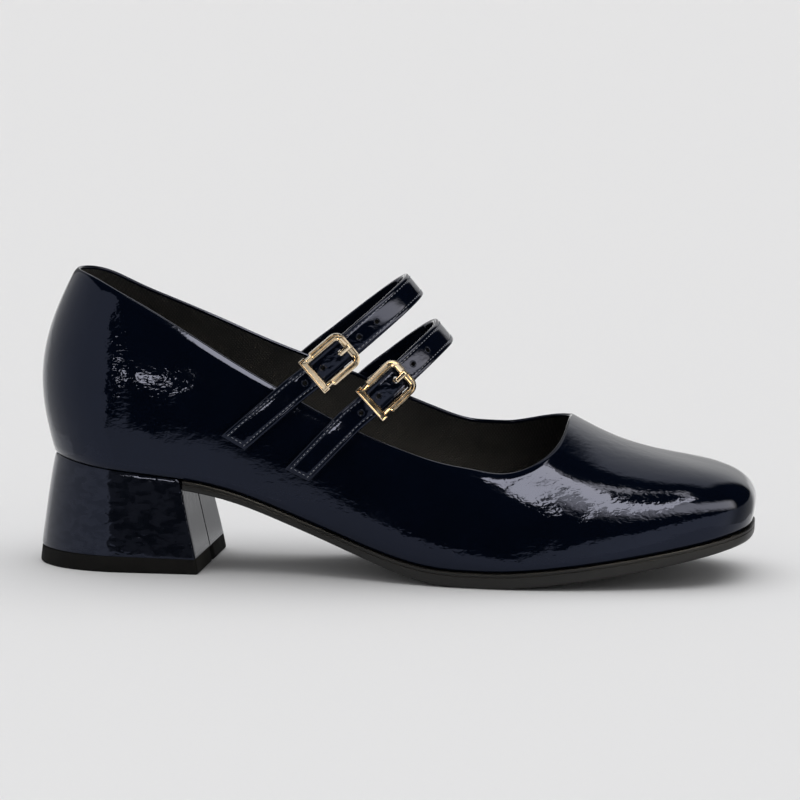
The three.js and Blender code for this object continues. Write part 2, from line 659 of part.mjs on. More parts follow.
// Prong: a curl round the hinge bar, an arm under the strap, up through its hole and onto the frame
function prongGeometry() {
  const curl = hingeRadius + clearance + prongCurl;
  const curlEnd = Math.PI * 1.85; // the curl closes against the arm here
  const armTop = hingeOut + curl;
  const rest = frameBase + frameHeight - notchDepth + clearance;
  const tip = frameLength / 2 - frameBar * 0.3;
  const [left, right] = [prongHoleAt - prongHeight / 2, prongHoleAt + prongHeight / 2];
  const outline = new THREE.Shape();
  outline.moveTo(-hingeBack, armTop);
  outline.absarc(-hingeBack, hingeOut, curl, Math.PI / 2, curlEnd, false);
  outline.lineTo(-hingeBack + curl * 1.35, armTop - prongHeight);
  outline.lineTo(right, armTop - prongHeight);
  outline.lineTo(right, rest);
  outline.lineTo(tip, rest);
  outline.lineTo(tip - prongHeight * 0.3, rest + prongHeight);
  outline.lineTo(left, rest + prongHeight);
  outline.lineTo(left, armTop);
  const eye = new THREE.Path();
  eye.absarc(-hingeBack, hingeOut, hingeRadius + clearance, 0, Math.PI * 2, true);
  outline.holes.push(eye);
  const options = { depth: prongWidth, bevelEnabled: false, curveSegments: 12 };
  const side = new THREE.ExtrudeGeometry(outline, options);
  return geometryOf(solidOf(side.rotateX(Math.PI / 2).translate(0, prongWidth / 2, 0)));
}

// Mesh with the matt or glossy look of its material
function piece(name, geometry, color, roughness, metalness = 0) {
  const material = new THREE.MeshStandardMaterial({ color, roughness, metalness });
  const mesh = new THREE.Mesh(geometry, material);
  mesh.name = name;
  return mesh;
}

const navy = 0x0b0f1e;
const gold = 0xcdb48a;

// A strap with its buckle
function buckledStrap(strap) {
  const group = new THREE.Group();
  const { sections, frameAfter } = strapSections(strap);
  const holes = [-2, -1, 0, 1, 2].map((step) => ({
    frame: frameAfter(buckleUp + prongHoleAt + step * holePitch),
    radius: step === 0 ? prongHoleRadius : holeRadius,
  }));
  const buckle = frameMatrix(frameAfter(buckleUp));
  group.add(piece(`strap_${strap.name}`, strapGeometry(sections, holes), navy, 0.15));
  const frame = frameGeometry().applyMatrix4(buckle);
  group.add(piece(`buckle_frame_${strap.name}`, frame, gold, 0.25, 1));
  const prong = prongGeometry().applyMatrix4(buckle);
  group.add(piece(`buckle_prong_${strap.name}`, prong, gold, 0.25, 1));
  return group;
}

const shoe = new THREE.Group();
shoe.add(piece('upper', upperGeometry(), navy, 0.12));
shoe.add(piece('insole', insoleGeometry(), 0x15161a, 0.8));
shoe.add(piece('outsole', outsoleGeometry(), 0x1a1a19, 0.45));
shoe.add(piece('heel', heelGeometry(), navy, 0.12));
shoe.add(piece('heel_top_piece', topPieceGeometry(), 0x141414, 0.6));
for (const strap of straps) shoe.add(buckledStrap(strap));

// Stand it on the floor with the middle of its footprint at the origin
const bounds = new THREE.Box3().setFromObject(shoe);
const middle = bounds.getCenter(new THREE.Vector3());
shoe.position.set(-middle.x, -middle.y, -bounds.min.z);

export default shoe;
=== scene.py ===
# Mary jane pump in navy patent leather: the finished shoe over its solids
import math
import bpy
import numpy as np
from mathutils import Matrix, Vector


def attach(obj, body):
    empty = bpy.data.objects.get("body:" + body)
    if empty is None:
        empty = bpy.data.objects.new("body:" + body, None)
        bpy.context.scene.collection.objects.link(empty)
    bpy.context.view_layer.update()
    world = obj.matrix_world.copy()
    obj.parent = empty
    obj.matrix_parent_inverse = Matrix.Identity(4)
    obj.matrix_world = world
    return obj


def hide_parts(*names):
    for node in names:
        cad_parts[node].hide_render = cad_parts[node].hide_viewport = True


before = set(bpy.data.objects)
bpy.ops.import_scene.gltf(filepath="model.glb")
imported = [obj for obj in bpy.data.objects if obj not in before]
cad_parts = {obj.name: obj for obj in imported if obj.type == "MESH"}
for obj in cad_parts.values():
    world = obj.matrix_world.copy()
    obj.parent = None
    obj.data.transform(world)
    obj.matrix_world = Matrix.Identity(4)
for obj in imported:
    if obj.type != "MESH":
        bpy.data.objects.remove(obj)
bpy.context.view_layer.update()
print("solids loaded")

mm = 0.001
shift = np.array([-124.8, 0.87, 0.0])  # shaping place to the shoe's own place, in mm

# The last, in mm: x from the counter's bulge to the toe, y = 0 the middle of the heel
last = {
    "shoeLength": 250, "ballWidth": 78, "heelHeight": 36, "toeSpring": 14.2,
    "counterHeight": 65, "instepHeight": 46.4,
    "wall": 1.8, "marginWidth": 9, "featherRadius": 0.9,
    "soleThickness": 5.3, "soleEdge": 0.8, "insoleEase": 0.9, "insoleThickness": 2, "clearance": 0.3,
    "outlineStart": 5, "outlineEnd": 249.3, "heelCap": 28, "toeCap": 28,
    "heelCapPower": 2.1, "toeCapPower": 3.1,
    "heelPole": 30, "toePole": 228, "heelBlend": 16, "toeBlend": 16,
    "throatAt": 187.5, "throatRun": 25.5, "throatSoft": 0.22, "treadEnd": 162, "springPower": 1.55,
}
throatCorner = {-1: (1.7, 0.59), 1: (1.05, 0.95)}  # power and ease, outer and inner side

columns = ("at", "half", "bow", "ridge", "bulgeOut", "bulgeIn", "lean", "rise", "sole", "back",
           "front", "square", "outerTop", "innerTop")
sections = np.array([
    (0.02, 0.315, 0, 0, 0.064, 0.064, 0.65, 0.99, 0.66, 1.4, 0, 2.2, 0.715, 0.715),
    (0.072, 0.32, 0, 0, 0.064, 0.064, 0.65, 0.925, 0.66, 1.43, 0, 2.2, 0.7, 0.69),
    (0.12, 0.321, 0, 0, 0.06, 0.06, 0.67, 0.88, 0.66, 1.455, 0, 2.2, 0.66, 0.64),
    (0.18, 0.322, -0.002, 0, 0.053, 0.055, 0.7, 0.835, 0.66, 1.46, 0, 2.2, 0.602, 0.594),
    (0.24, 0.318, -0.007, 0.003, 0.05, 0.055, 0.74, 0.785, 0.66, 1.42, 0.026, 2.2, 0.54, 0.556),
    (0.3, 0.306, -0.016, 0.01, 0.053, 0.064, 0.8, 0.68, 0.66, 1.3, 0.14, 2.2, 0.498, 0.541),
    (0.36, 0.3, -0.026, 0.02, 0.059, 0.077, 0.87, 0.52, 0.67, 1.14, 0.332, 2.2, 0.479, 0.55),
    (0.42, 0.318, -0.033, 0.031, 0.062, 0.08, 0.94, 0.36, 0.7, 0.9, 0.62, 2.2, 0.466, 0.566),
    (0.48, 0.36, -0.035, 0.042, 0.056, 0.07, 0.99, 0.2, 0.76, 0.62, 0.92, 2.2, 0.477, 0.578),
    (0.54, 0.414, -0.034, 0.052, 0.043, 0.053, 1, 0.063, 0.9, 0.33, 1.208, 2.2, 0.495, 0.59),
    (0.6, 0.46, -0.03, 0.06, 0.031, 0.038, 1, 0, 1, 0.12, 1.345, 2.2, 0.513, 0.597),
    (0.648, 0.486, -0.024, 0.064, 0.023, 0.028, 1, 0, 1, 0.03, 1.3, 2.2, 0.545, 0.66),
    (0.7, 0.5, -0.014, 0.065, 0.019, 0.021, 1, 0, 0.98, 0, 1.16, 2.2, 0.545, 0.66),
    (0.748, 0.498, -0.006, 0.063, 0.018, 0.019, 1, 0, 0.98, 0, 0.991, 2.2, 0.545, 0.66),
    (0.8, 0.482, 0.001, 0.058, 0.018, 0.019, 1, 0, 0.96, 0, 0.81, 2.25, 0.545, 0.66),
    (0.86, 0.448, 0.008, 0.048, 0.018, 0.019, 1, 0, 0.92, 0, 0.66, 2.4, 0.545, 0.66),
    (0.92, 0.398, 0.016, 0.034, 0.017, 0.018, 1, 0, 0.86, 0, 0.537, 3, 0.545, 0.66),
    (1, 0.33, 0.024, 0.015, 0.018, 0.018, 1, 0, 0.8, 0, 0.362, 4.2, 0.545, 0.66),
])
sampleStep = 0.5
sampleX = np.arange(0, last["shoeLength"] + sampleStep, sampleStep)


def smoothColumn(name, width=9, passes=3):  # one column as a curve without kinks, for even gloss
    places = sections[:, 0] * last["shoeLength"]
    values = sections[:, columns.index(name)]
    steps = np.diff(places)
    slopes = np.diff(values) / steps
    before = np.concatenate(([slopes[0]], slopes))
    after = np.concatenate((slopes, [slopes[-1]]))
    left = np.concatenate(([steps[0]], steps))
    right = np.concatenate((steps, [steps[-1]]))
    tangents = np.where((before == 0) | (after == 0), 0, (before * right + after * left) / (left + right))
    i = np.clip(np.searchsorted(places, sampleX, side="right") - 1, 0, len(steps) - 1)
    t = np.clip((sampleX - places[i]) / steps[i], 0, 1)
    rest = 1 - t
    line = values[i] * (1 + 2 * t) * rest ** 2 + values[i + 1] * (3 - 2 * t) * t ** 2
    line += steps[i] * (tangents[i] * t * rest ** 2 - tangents[i + 1] * t ** 2 * rest)
    reach = int(width / sampleStep)
    kernel = np.ones(2 * (reach // 2) + 1)
    for _ in range(passes):
        ahead, past = 2 * line[0] - line[reach:0:-1], 2 * line[-1] - line[-2:-reach - 2:-1]
        padded = np.concatenate((ahead, line, past))
        line = np.convolve(padded, kernel / kernel.size, "same")[reach:-reach]
    return line


curves = {name: smoothColumn(name) for name in columns[1:]}


def curve(name, x):
    return np.interp(x, sampleX, curves[name])


def underside(x):
    spring = np.clip((x - last["treadEnd"]) / (last["shoeLength"] - last["treadEnd"]), 0, None)
    return last["heelHeight"] * curve("rise", x) + last["toeSpring"] * spring ** last["springPower"]


def seat(x):
    return underside(x) + last["soleThickness"] * curve("sole", x)


def foot(x):
    return seat(x) + last["clearance"]


def crown(x):
    return foot(x) + last["counterHeight"] * curve("back", x) + last["instepHeight"] * curve("front", x)


def poleLine(x):
    fromHeel = (x + last["heelPole"] + np.hypot(x - last["heelPole"], last["heelBlend"])) / 2
    return (fromHeel + last["toePole"] - np.hypot(fromHeel - last["toePole"], last["toeBlend"])) / 2


def superPoint(angle, power):
    c = np.clip(np.cos(angle), 0, None)
    s = np.clip(np.sin(angle), 0, None)
    size = (c ** power + s ** power) ** (1 / power)
    return c / size, s / size


def outlineShare(x):
    atHeel = 1 - np.clip((x - last["outlineStart"]) / last["heelCap"], 0, 1)
    atToe = np.clip((x - last["outlineEnd"] + last["toeCap"]) / last["toeCap"], 0, 1)
    heelShare = np.clip(1 - atHeel ** last["heelCapPower"], 0, None) ** (1 / last["heelCapPower"])
    toeShare = np.clip(1 - atToe ** last["toeCapPower"], 0, None) ** (1 / last["toeCapPower"])
    return heelShare * toeShare


def outlineY(x, side, share=None):
    share = outlineShare(x) if share is None else share
    return last["ballWidth"] * (curve("bow", x) + side * curve("half", x) * share)


def topline(x, side, lower=0):
    power, ease = throatCorner[side]
    behind = curve("outerTop" if side < 0 else "innerTop", x)
    run = 1 - (last["throatAt"] - x) / last["throatRun"]
    soft = (run + np.hypot(run, last["throatSoft"])) / (1 + math.hypot(1, last["throatSoft"]))
    t = np.clip(soft, 0, 1)
    return 1 - (1 - behind) * (1 - t ** power) ** ease * (1 + lower)


def makeRibs(x, side, share=None, lower=0):
    share = outlineShare(x) if share is None else share
    poleX = poleLine(x)
    poleY = last["ballWidth"] * (curve("bow", poleX) + curve("ridge", poleX))
    reachX, reachY = x - poleX, outlineY(x, side, share) - poleY
    run = np.hypot(reachX, reachY)
    inner = (1 + side * share) / 2
    bulge = last["ballWidth"] * (curve("bulgeOut", x) * (1 - inner) + curve("bulgeIn", x) * inner)
    top = topline(x, -1, lower) * (1 - inner) + topline(x, 1, lower) * inner
    return {"x": x, "poleX": poleX, "poleY": poleY, "awayX": reachX / run, "awayY": reachY / run,
            "run": run, "bulge": bulge, "top": top, "foot": foot(x), "lean": curve("lean", x),
            "power": curve("square", x)}


def ribPoints(rib, height, inset=0.0):  # all arrays share one shape; the last axis of the result is x, y, z
    along = np.clip(1 - height ** rib["power"], 0, None) ** (1 / rib["power"])
    out = (rib["run"] - inset) * along + rib["bulge"] * np.sin(np.pi * height / rib["lean"])
    x = rib["poleX"] + rib["awayX"] * out
    y = rib["poleY"] + rib["awayY"] * out
    return np.stack((x, y, rib["foot"] + (crown(x) - inset - rib["foot"]) * height), axis=-1)


def spreadRibs(rib, count):  # every rib repeated along a new axis, for a grid of points
    return {key: np.repeat(value[:, None], count, axis=1) for key, value in rib.items()}


def ribGrid(rib, low, high, count, inset=0.0):  # points from one height to another, evenly round the rib
    wide = spreadRibs(rib, count + 1)
    share = np.linspace(0, 1, count + 1)[None, :]

    def angleOf(h):
        return np.arctan2(h, np.clip(1 - h ** rib["power"], 0, None) ** (1 / rib["power"]))

    full = math.pi / 2
    missing = 1 - angleOf(high)[:, None] / full
    crowd = 0.9 / np.clip(missing, 0.015, 1) - 1  # the rows crowd under the topline
    angle = angleOf(low)[:, None] * (1 - share) + full * share * (1 - missing * share ** crowd)
    height = superPoint(angle, wide["power"])[1]
    height[:, 0], height[:, -1] = low, high
    return ribPoints(wide, height, inset)


# Making of pieces
weldGap = 2e-6


def clearSelection():
    if bpy.context.object and bpy.context.object.mode != "OBJECT":
        bpy.ops.object.mode_set(mode="OBJECT")
    bpy.ops.object.select_all(action="DESELECT")


def selectOnly(piece):
    clearSelection()
    piece.select_set(True)
    bpy.context.view_layer.objects.active = piece


def weld(piece, turn=True):  # merges doubled vertices and turns the faces outwards
    bpy.context.view_layer.objects.active = piece
    bpy.ops.object.mode_set(mode="EDIT")
    bpy.ops.mesh.select_all(action="SELECT")
    bpy.ops.mesh.remove_doubles(threshold=weldGap)
    if turn:
        bpy.ops.mesh.normals_make_consistent(inside=False)
    bpy.ops.object.mode_set(mode="OBJECT")


def closeEnds(piece):  # fills the open loops of a lofted piece
    weld(piece, turn=False)
    bpy.ops.object.mode_set(mode="EDIT")
    bpy.ops.mesh.select_all(action="DESELECT")
    bpy.ops.mesh.select_mode(type="VERT")
    bpy.ops.mesh.select_non_manifold()
    bpy.ops.mesh.edge_face_add()
    bpy.ops.object.mode_set(mode="OBJECT")
    weld(piece)


def shapedGrid(name, points):  # a grid primitive whose vertices follow points[row, column], in mm
    rows, cols = points.shape[:2]
    clearSelection()
    bpy.ops.mesh.primitive_grid_add(x_subdivisions=cols - 1, y_subdivisions=rows - 1, size=1)
    piece = bpy.context.object
    piece.name = piece.data.name = name
    piece.data.vertices.foreach_set("co", ((points + shift) * mm).astype(np.float32).ravel())
    piece.data.update()
    return piece


def joinPieces(name, pieces):
    clearSelection()
    for piece in pieces:
        piece.select_set(True)
    bpy.context.view_layer.objects.active = pieces[0]
    if len(pieces) > 1:
        bpy.ops.object.join()
    whole = bpy.context.object
    whole.name = whole.data.name = name
    return whole


def smoothPiece(piece, angle=None):
    selectOnly(piece)
    if angle is None:
        bpy.ops.object.shade_smooth()
    else:
        bpy.ops.object.shade_smooth_by_angle(angle=math.radians(angle))


def applyModifier(piece, kind, **settings):
    modifier = piece.modifiers.new(kind.lower(), kind)
    for key, value in settings.items():
        setattr(modifier, key, value)
    selectOnly(piece)
    bpy.ops.object.modifier_apply(modifier=modifier.name)


def finishPiece(piece, slot, *nodes):
    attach(piece, "root")
    if nodes:
        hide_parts(*nodes)


# Shader writing: a wire is a socket with arithmetic, a board adds the nodes
class Wire:
    def __init__(self, board, socket):
        self.board, self.socket = board, socket

    def math(self, operation, other=0.0, swap=False):
        pair = (other, self) if swap else (self, other)
        return self.board.add("ShaderNodeMath", {"operation": operation}, {0: pair[0], 1: pair[1]})

    def __add__(self, other):
        return self.math("ADD", other)

    def __radd__(self, other):
        return self.math("ADD", other, True)

    def __sub__(self, other):
        return self.math("SUBTRACT", other)

    def __rsub__(self, other):
        return self.math("SUBTRACT", other, True)

    def __mul__(self, other):
        return self.math("MULTIPLY", other)

    def __rmul__(self, other):
        return self.math("MULTIPLY", other, True)


class Board:
    def __init__(self, name):
        self.material = bpy.data.materials.new(name)
        self.material.use_nodes = True
        self.tree = self.material.node_tree
        self.tree.nodes.clear()

    def add(self, kind, settings=None, values=None, out=0):
        node = self.tree.nodes.new(kind)
        for key, value in (settings or {}).items():
            if key == "stops":
                ramp = node.color_ramp
                while len(ramp.elements) < len(value):
                    ramp.elements.new(0.5)
                for element, (place, tone) in zip(ramp.elements, value):
                    element.position = place
                    element.color = (*tone, 1) if isinstance(tone, tuple) else (tone, tone, tone, 1)
            else:
                setattr(node, key, value)
        for key, value in (values or {}).items():
            if isinstance(value, Wire):
                self.tree.links.new(value.socket, node.inputs[key])
            else:
                node.inputs[key].default_value = value
        return Wire(self, node.outputs[out]) if node.outputs else None

    def place(self, scale=(1, 1, 1), move=(0, 0, 0)):  # the piece's own coordinates, stretched and moved
        spot = self.add("ShaderNodeTexCoord", out=3)
        if scale == (1, 1, 1):
            return spot
        return self.add("ShaderNodeMapping", {}, {0: spot, 1: move, 3: scale})

    def noise(self, spot, size, detail=2.0, rough=0.5, warp=0.0):
        values = {"Vector": spot, "Scale": 1 / (size * mm), "Detail": detail, "Roughness": rough,
                  "Distortion": warp}
        return self.add("ShaderNodeTexNoise", {}, values)

    def cells(self, spot, size, soft=0.5):
        values = {"Vector": spot, "Scale": 1 / (size * mm), "Smoothness": soft}
        return self.add("ShaderNodeTexVoronoi", {"feature": "SMOOTH_F1"}, values)

    def threads(self, spot, size, warp=0.4):
        values = {"Vector": spot, "Scale": 0.31 / (size * mm), "Distortion": warp}
        return self.add("ShaderNodeTexWave", {"bands_direction": "DIAGONAL"}, values)

    def step(self, value, low, high, start=0.0, end=1.0):
        values = {"Value": value, "From Min": low, "From Max": high, "To Min": start, "To Max": end}
        return self.add("ShaderNodeMapRange", {"interpolation_type": "SMOOTHSTEP"}, values)

    def blend(self, share, first, second):
        return self.add("ShaderNodeMix", {"data_type": "RGBA"}, {0: share, 6: first, 7: second}, out=2)

    def bump(self, height, depth, normal=None):
        values = {"Strength": 1.0, "Distance": depth * mm, "Height": height}
        if normal is not None:
            values["Normal"] = normal
        return self.add("ShaderNodeBump", {}, values)

    def finish(self, **inputs):
        values = {key.replace("_", " "): value for key, value in inputs.items()}
        surface = self.add("ShaderNodeBsdfPrincipled", {}, values)
        self.add("ShaderNodeOutputMaterial", {}, {0: surface})
        return self.material


patentLook = {
    "navy": (0.0016, 0.0032, 0.0085, 1), "ink": (0.0009, 0.0018, 0.0045, 1),
    "tint": (0.6, 0.68, 1.0, 1), "specular": 0.38, "roughness": 0.06,
    "crinkleSize": 1.5, "crinkleDepth": 0.034, "rippleSize": 6, "rippleDepth": 0.085,
    # the heel's two tones: painted shade in the ripple hollows, painted sheen on the crests
    "breastSlope": 0.2, "heelCrestSheen": (0.0095, 0.011, 0.0165, 1), "heelHollowShade": (0.0035, 0.0045, 0.0075, 1),
    "behindStart": 0.12, "startSoft": 5, "heelRoughness": 0.07, "breastRoughness": 0.22,
}
# Where the leather is crumpled more: place in mm, reach in mm, how much more
crumples = (((-74, -27, 66), (13, 20, 7), 2.8), ((-92, -25, 74), (6, 20, 22), 3.6),
            ((56, -35, 28), (20, 20, 6), 0.6), ((90, -30, 26), (24, 20, 9), 0.9),
            ((70, -5, 46), (34, 12, 20), 0.7))
strapCrumples = (((-17, -28, 79), (12, 8, 12), 2.0), ((4, -28, 71), (11, 8, 11), 2.0))


# Glossy leather with a fine crinkle over soft waves. On the heel it is calm behind the place start and
# smooth ahead of the place breast, both along x in mm.
def makePatent(name, crinkle=1.0, ripple=1.0, patches=(), start=None, breast=None):
    look = patentLook
    board = Board(name)
    spot = board.place(scale=(0.65, 1.2, 1.25))
    fine = board.noise(spot, look["crinkleSize"], detail=1.2, rough=0.4, warp=0.9)
    cells = board.cells(spot, look["crinkleSize"] * 1.5)
    size = look["rippleSize"] if ripple < 3 else look["rippleSize"] * 0.55
    waves = board.noise(board.place(scale=(0.75, 1, 1.4)), size, detail=1.0, warp=0.5)
    patch = board.step(board.noise(board.place(), 22, detail=1.0), 0.35, 0.65, 0.5, 1.0)
    for centre, reach, more in patches:
        spread = tuple(1 / (wide * mm) for wide in reach)
        away = board.place(spread, tuple(-at / wide for at, wide in zip(centre, reach)))
        distance = board.add("ShaderNodeVectorMath", {"operation": "LENGTH"}, {0: away}, out=1)
        patch = patch + board.step(distance, 0.35, 1.25, more, 0.0)
    if start is not None:
        x, z = [board.add("ShaderNodeSeparateXYZ", {}, {0: board.place()}, out=i) for i in (0, 2)]
        front = board.step(x + z * look["breastSlope"], (breast - 0.6) * mm, (breast - 0.3) * mm)
        low, high = (start - look["startSoft"]) * mm, (start + look["startSoft"]) * mm
        patch = patch * board.step(x, low, high, look["behindStart"], 1.0) * (1 - front)
        rough = board.step(front, 0.0, 1.0, look["heelRoughness"], look["breastRoughness"])
    soft = board.bump(waves * patch, look["rippleDepth"] * ripple)
    worked = board.bump((fine + cells * 0.45) * patch, look["crinkleDepth"] * crinkle, soft)
    if start is None:
        rough = look["roughness"]
        tone = board.blend(board.noise(board.place(), 14), look["ink"], look["navy"])
    else:  # the heel cover's colour is painted darker in the ripple hollows and lighter on the crests: painted shade and painted sheen
        tone = board.blend(board.step(waves, 0.36, 0.62), look["heelHollowShade"], look["heelCrestSheen"])
    return board.finish(Base_Color=tone, Roughness=rough, Normal=worked, IOR=1.52,
                        Specular_IOR_Level=look["specular"], Specular_Tint=look["tint"])


liningLook = {
    "dark": (0.009, 0.009, 0.0095, 1), "pale": (0.026, 0.026, 0.0262, 1),
    "weaveSize": 0.55, "weaveDepth": 0.08, "smoothest": 0.55, "roughest": 0.7,
}


def makeLining(name):  # matt black lining with a fine weave
    look = liningLook
    board = Board(name)
    weave = board.threads(board.place(), look["weaveSize"])
    weave = weave * board.threads(board.place(scale=(-1, 1, 1)), look["weaveSize"])
    tone = board.blend(weave, look["dark"], look["pale"])
    rough = board.step(board.noise(board.place(), 8), 0.3, 0.7, look["smoothest"], look["roughest"])
    return board.finish(Base_Color=tone, Roughness=rough, Normal=board.bump(weave, look["weaveDepth"]))


soleLooks = {
    "satinSole": {"tone": (0.008, 0.0078, 0.0076, 1), "roughness": 0.4, "shine": 0.45},
    "heelRubber": {"tone": (0.006, 0.006, 0.006, 1), "roughness": 0.8, "shine": 0.1},
}


def makeSole(name):
    look = soleLooks[name]
    board = Board(name)
    grain = board.noise(board.place(), 0.8, detail=3)
    cloud = board.noise(board.place(scale=(0.4, 1, 1)), 7, detail=2)
    rough = board.step(cloud, 0.3, 0.7, look["roughness"] - 0.06, look["roughness"] + 0.08)
    worn = board.bump(grain + cloud * 2, 0.05)
    return board.finish(Base_Color=look["tone"], Roughness=rough, Normal=worn,
                        Specular_IOR_Level=look["shine"])


goldLook = {
    "worn": (0.86, 0.68, 0.46, 1), "bright": (0.95, 0.82, 0.63, 1), "wearSize": 2.2, "wearDepth": 0.008,
    "smoothest": 0.1, "roughest": 0.18,
}


def makeGold(name):  # pale gold plating, lightly brushed by wear
    look = goldLook
    board = Board(name)
    wear = board.noise(board.place(), look["wearSize"], detail=2)
    tone = board.blend(wear, look["worn"], look["bright"])
    rough = board.step(wear, 0.3, 0.7, look["smoothest"], look["roughest"])
    worn = board.bump(wear, look["wearDepth"])
    return board.finish(Base_Color=tone, Metallic=1.0, Roughness=rough, Normal=worn)


threadLook = {
    "dark": (0.07, 0.076, 0.095, 1), "pale": (0.3, 0.315, 0.36, 1), "twist": 0.5, "roughness": 0.45,
}


def makeThread(name):
    look = threadLook
    board = Board(name)
    twist = board.noise(board.place(), look["twist"], detail=1)
    tone = board.blend(twist, look["dark"], look["pale"])
    return board.finish(Base_Color=tone, Roughness=look["roughness"], Normal=board.bump(twist, 0.05))


patent = makePatent("navyPatent", patches=crumples)
heelPatent = makePatent("navyPatentHeel", crinkle=0.9, ripple=3.1, start=-106, breast=-64)
strapPatent = makePatent("navyPatentStrap", crinkle=1.1, ripple=1.2, patches=strapCrumples)
lining = makeLining("blackLining")
sole = makeSole("satinSole")
heelRubber = makeSole("heelRubber")
gold = makeGold("paleGold")
thread = makeThread("navyThread")
print("finishes made")

upperDetail = {
    "heelRibs": 36, "waistRibs": 76, "throatRibs": 30, "vampRibs": 26, "toeRibs": 36,
    "throatCrowd": 2.4, "vampCrowd": 1.6, "outerRows": 54, "innerRows": 30, "foldRows": 8,
    "rollDepth": 0.42, "rollWidth": 2.4,
}

# Soft troughs in the leather, and ridges where the depth is negative: from, to, reach and depth, in mm
creases = (
    ((-93, -24, 88), (-88, -26, 74), 2.4, 0.2), ((-84, -27, 80), (-89, -26, 66), 2.2, -0.14),
    ((-87, -27, 60), (-80, -28, 52), 2.6, 0.16), ((-70, -28, 72), (-60, -28, 62), 3.0, 0.12),
    ((34, -38, 22), (46, -36, 33), 3.2, 0.14), ((62, -38, 17), (70, -35, 27), 3.4, 0.12),
    ((40, 37, 24), (52, 34, 38), 3.4, 0.2), ((60, 38, 18), (70, 33, 32), 3.0, 0.18),
    ((-88, 26, 82), (-80, 28, 60), 3.0, 0.2), ((-64, 28, 66), (-50, 27, 54), 3.2, 0.16),
)


def pressCreases(points, outward):  # moves a grid of points along the given directions
    placed = points + shift
    push = np.zeros(points.shape[:2])
    for start, end, reach, depth in creases:
        start, end = np.array(start, float), np.array(end, float)
        run = end - start
        share = np.clip((placed - start) @ run / (run @ run), 0, 1)[..., None]
        away = np.linalg.norm(placed - start - share * run, axis=-1)
        push += depth * np.exp(-(away / reach) ** 2)
    return points - outward * push[..., None]


def gridOutward(points, side):  # directions square to a grid of points, out of the shoe
    across = np.cross(np.gradient(points, axis=0), np.gradient(points, axis=1)) * -side
    return across / (np.linalg.norm(across, axis=-1, keepdims=True) + 1e-9)


def ribPlaces():
    d = upperDetail
    heelAlong, heelUp = superPoint(np.linspace(0, np.pi / 2, d["heelRibs"] + 1)[:-1], last["heelCapPower"])
    toeAlong, toeUp = superPoint(np.linspace(0, np.pi / 2, d["toeRibs"] + 1), last["toeCapPower"])
    capEnd, toeStart = last["outlineStart"] + last["heelCap"], last["outlineEnd"] - last["toeCap"]
    waist = np.linspace(capEnd, last["treadEnd"], d["waistRibs"] + 1)[:-1]
    t = np.linspace(0, 1, d["throatRibs"] + 1)[:-1]
    throat = last["treadEnd"] + (last["throatAt"] - last["treadEnd"]) * (1 - (1 - t) ** d["throatCrowd"])
    t = np.linspace(0, 1, d["vampRibs"] + 1)[:-1]
    vamp = last["throatAt"] + (toeStart - last["throatAt"]) * t ** d["vampCrowd"]
    x = np.concatenate((last["outlineStart"] + last["heelCap"] * (1 - heelAlong), waist, throat, vamp,
                        last["outlineEnd"] - last["toeCap"] * (1 - toeUp)))
    share = np.concatenate((heelUp, np.ones(waist.size + throat.size + vamp.size), toeAlong))
    throatRib = d["heelRibs"] + d["waistRibs"] + d["throatRibs"]
    return x, share, throatRib


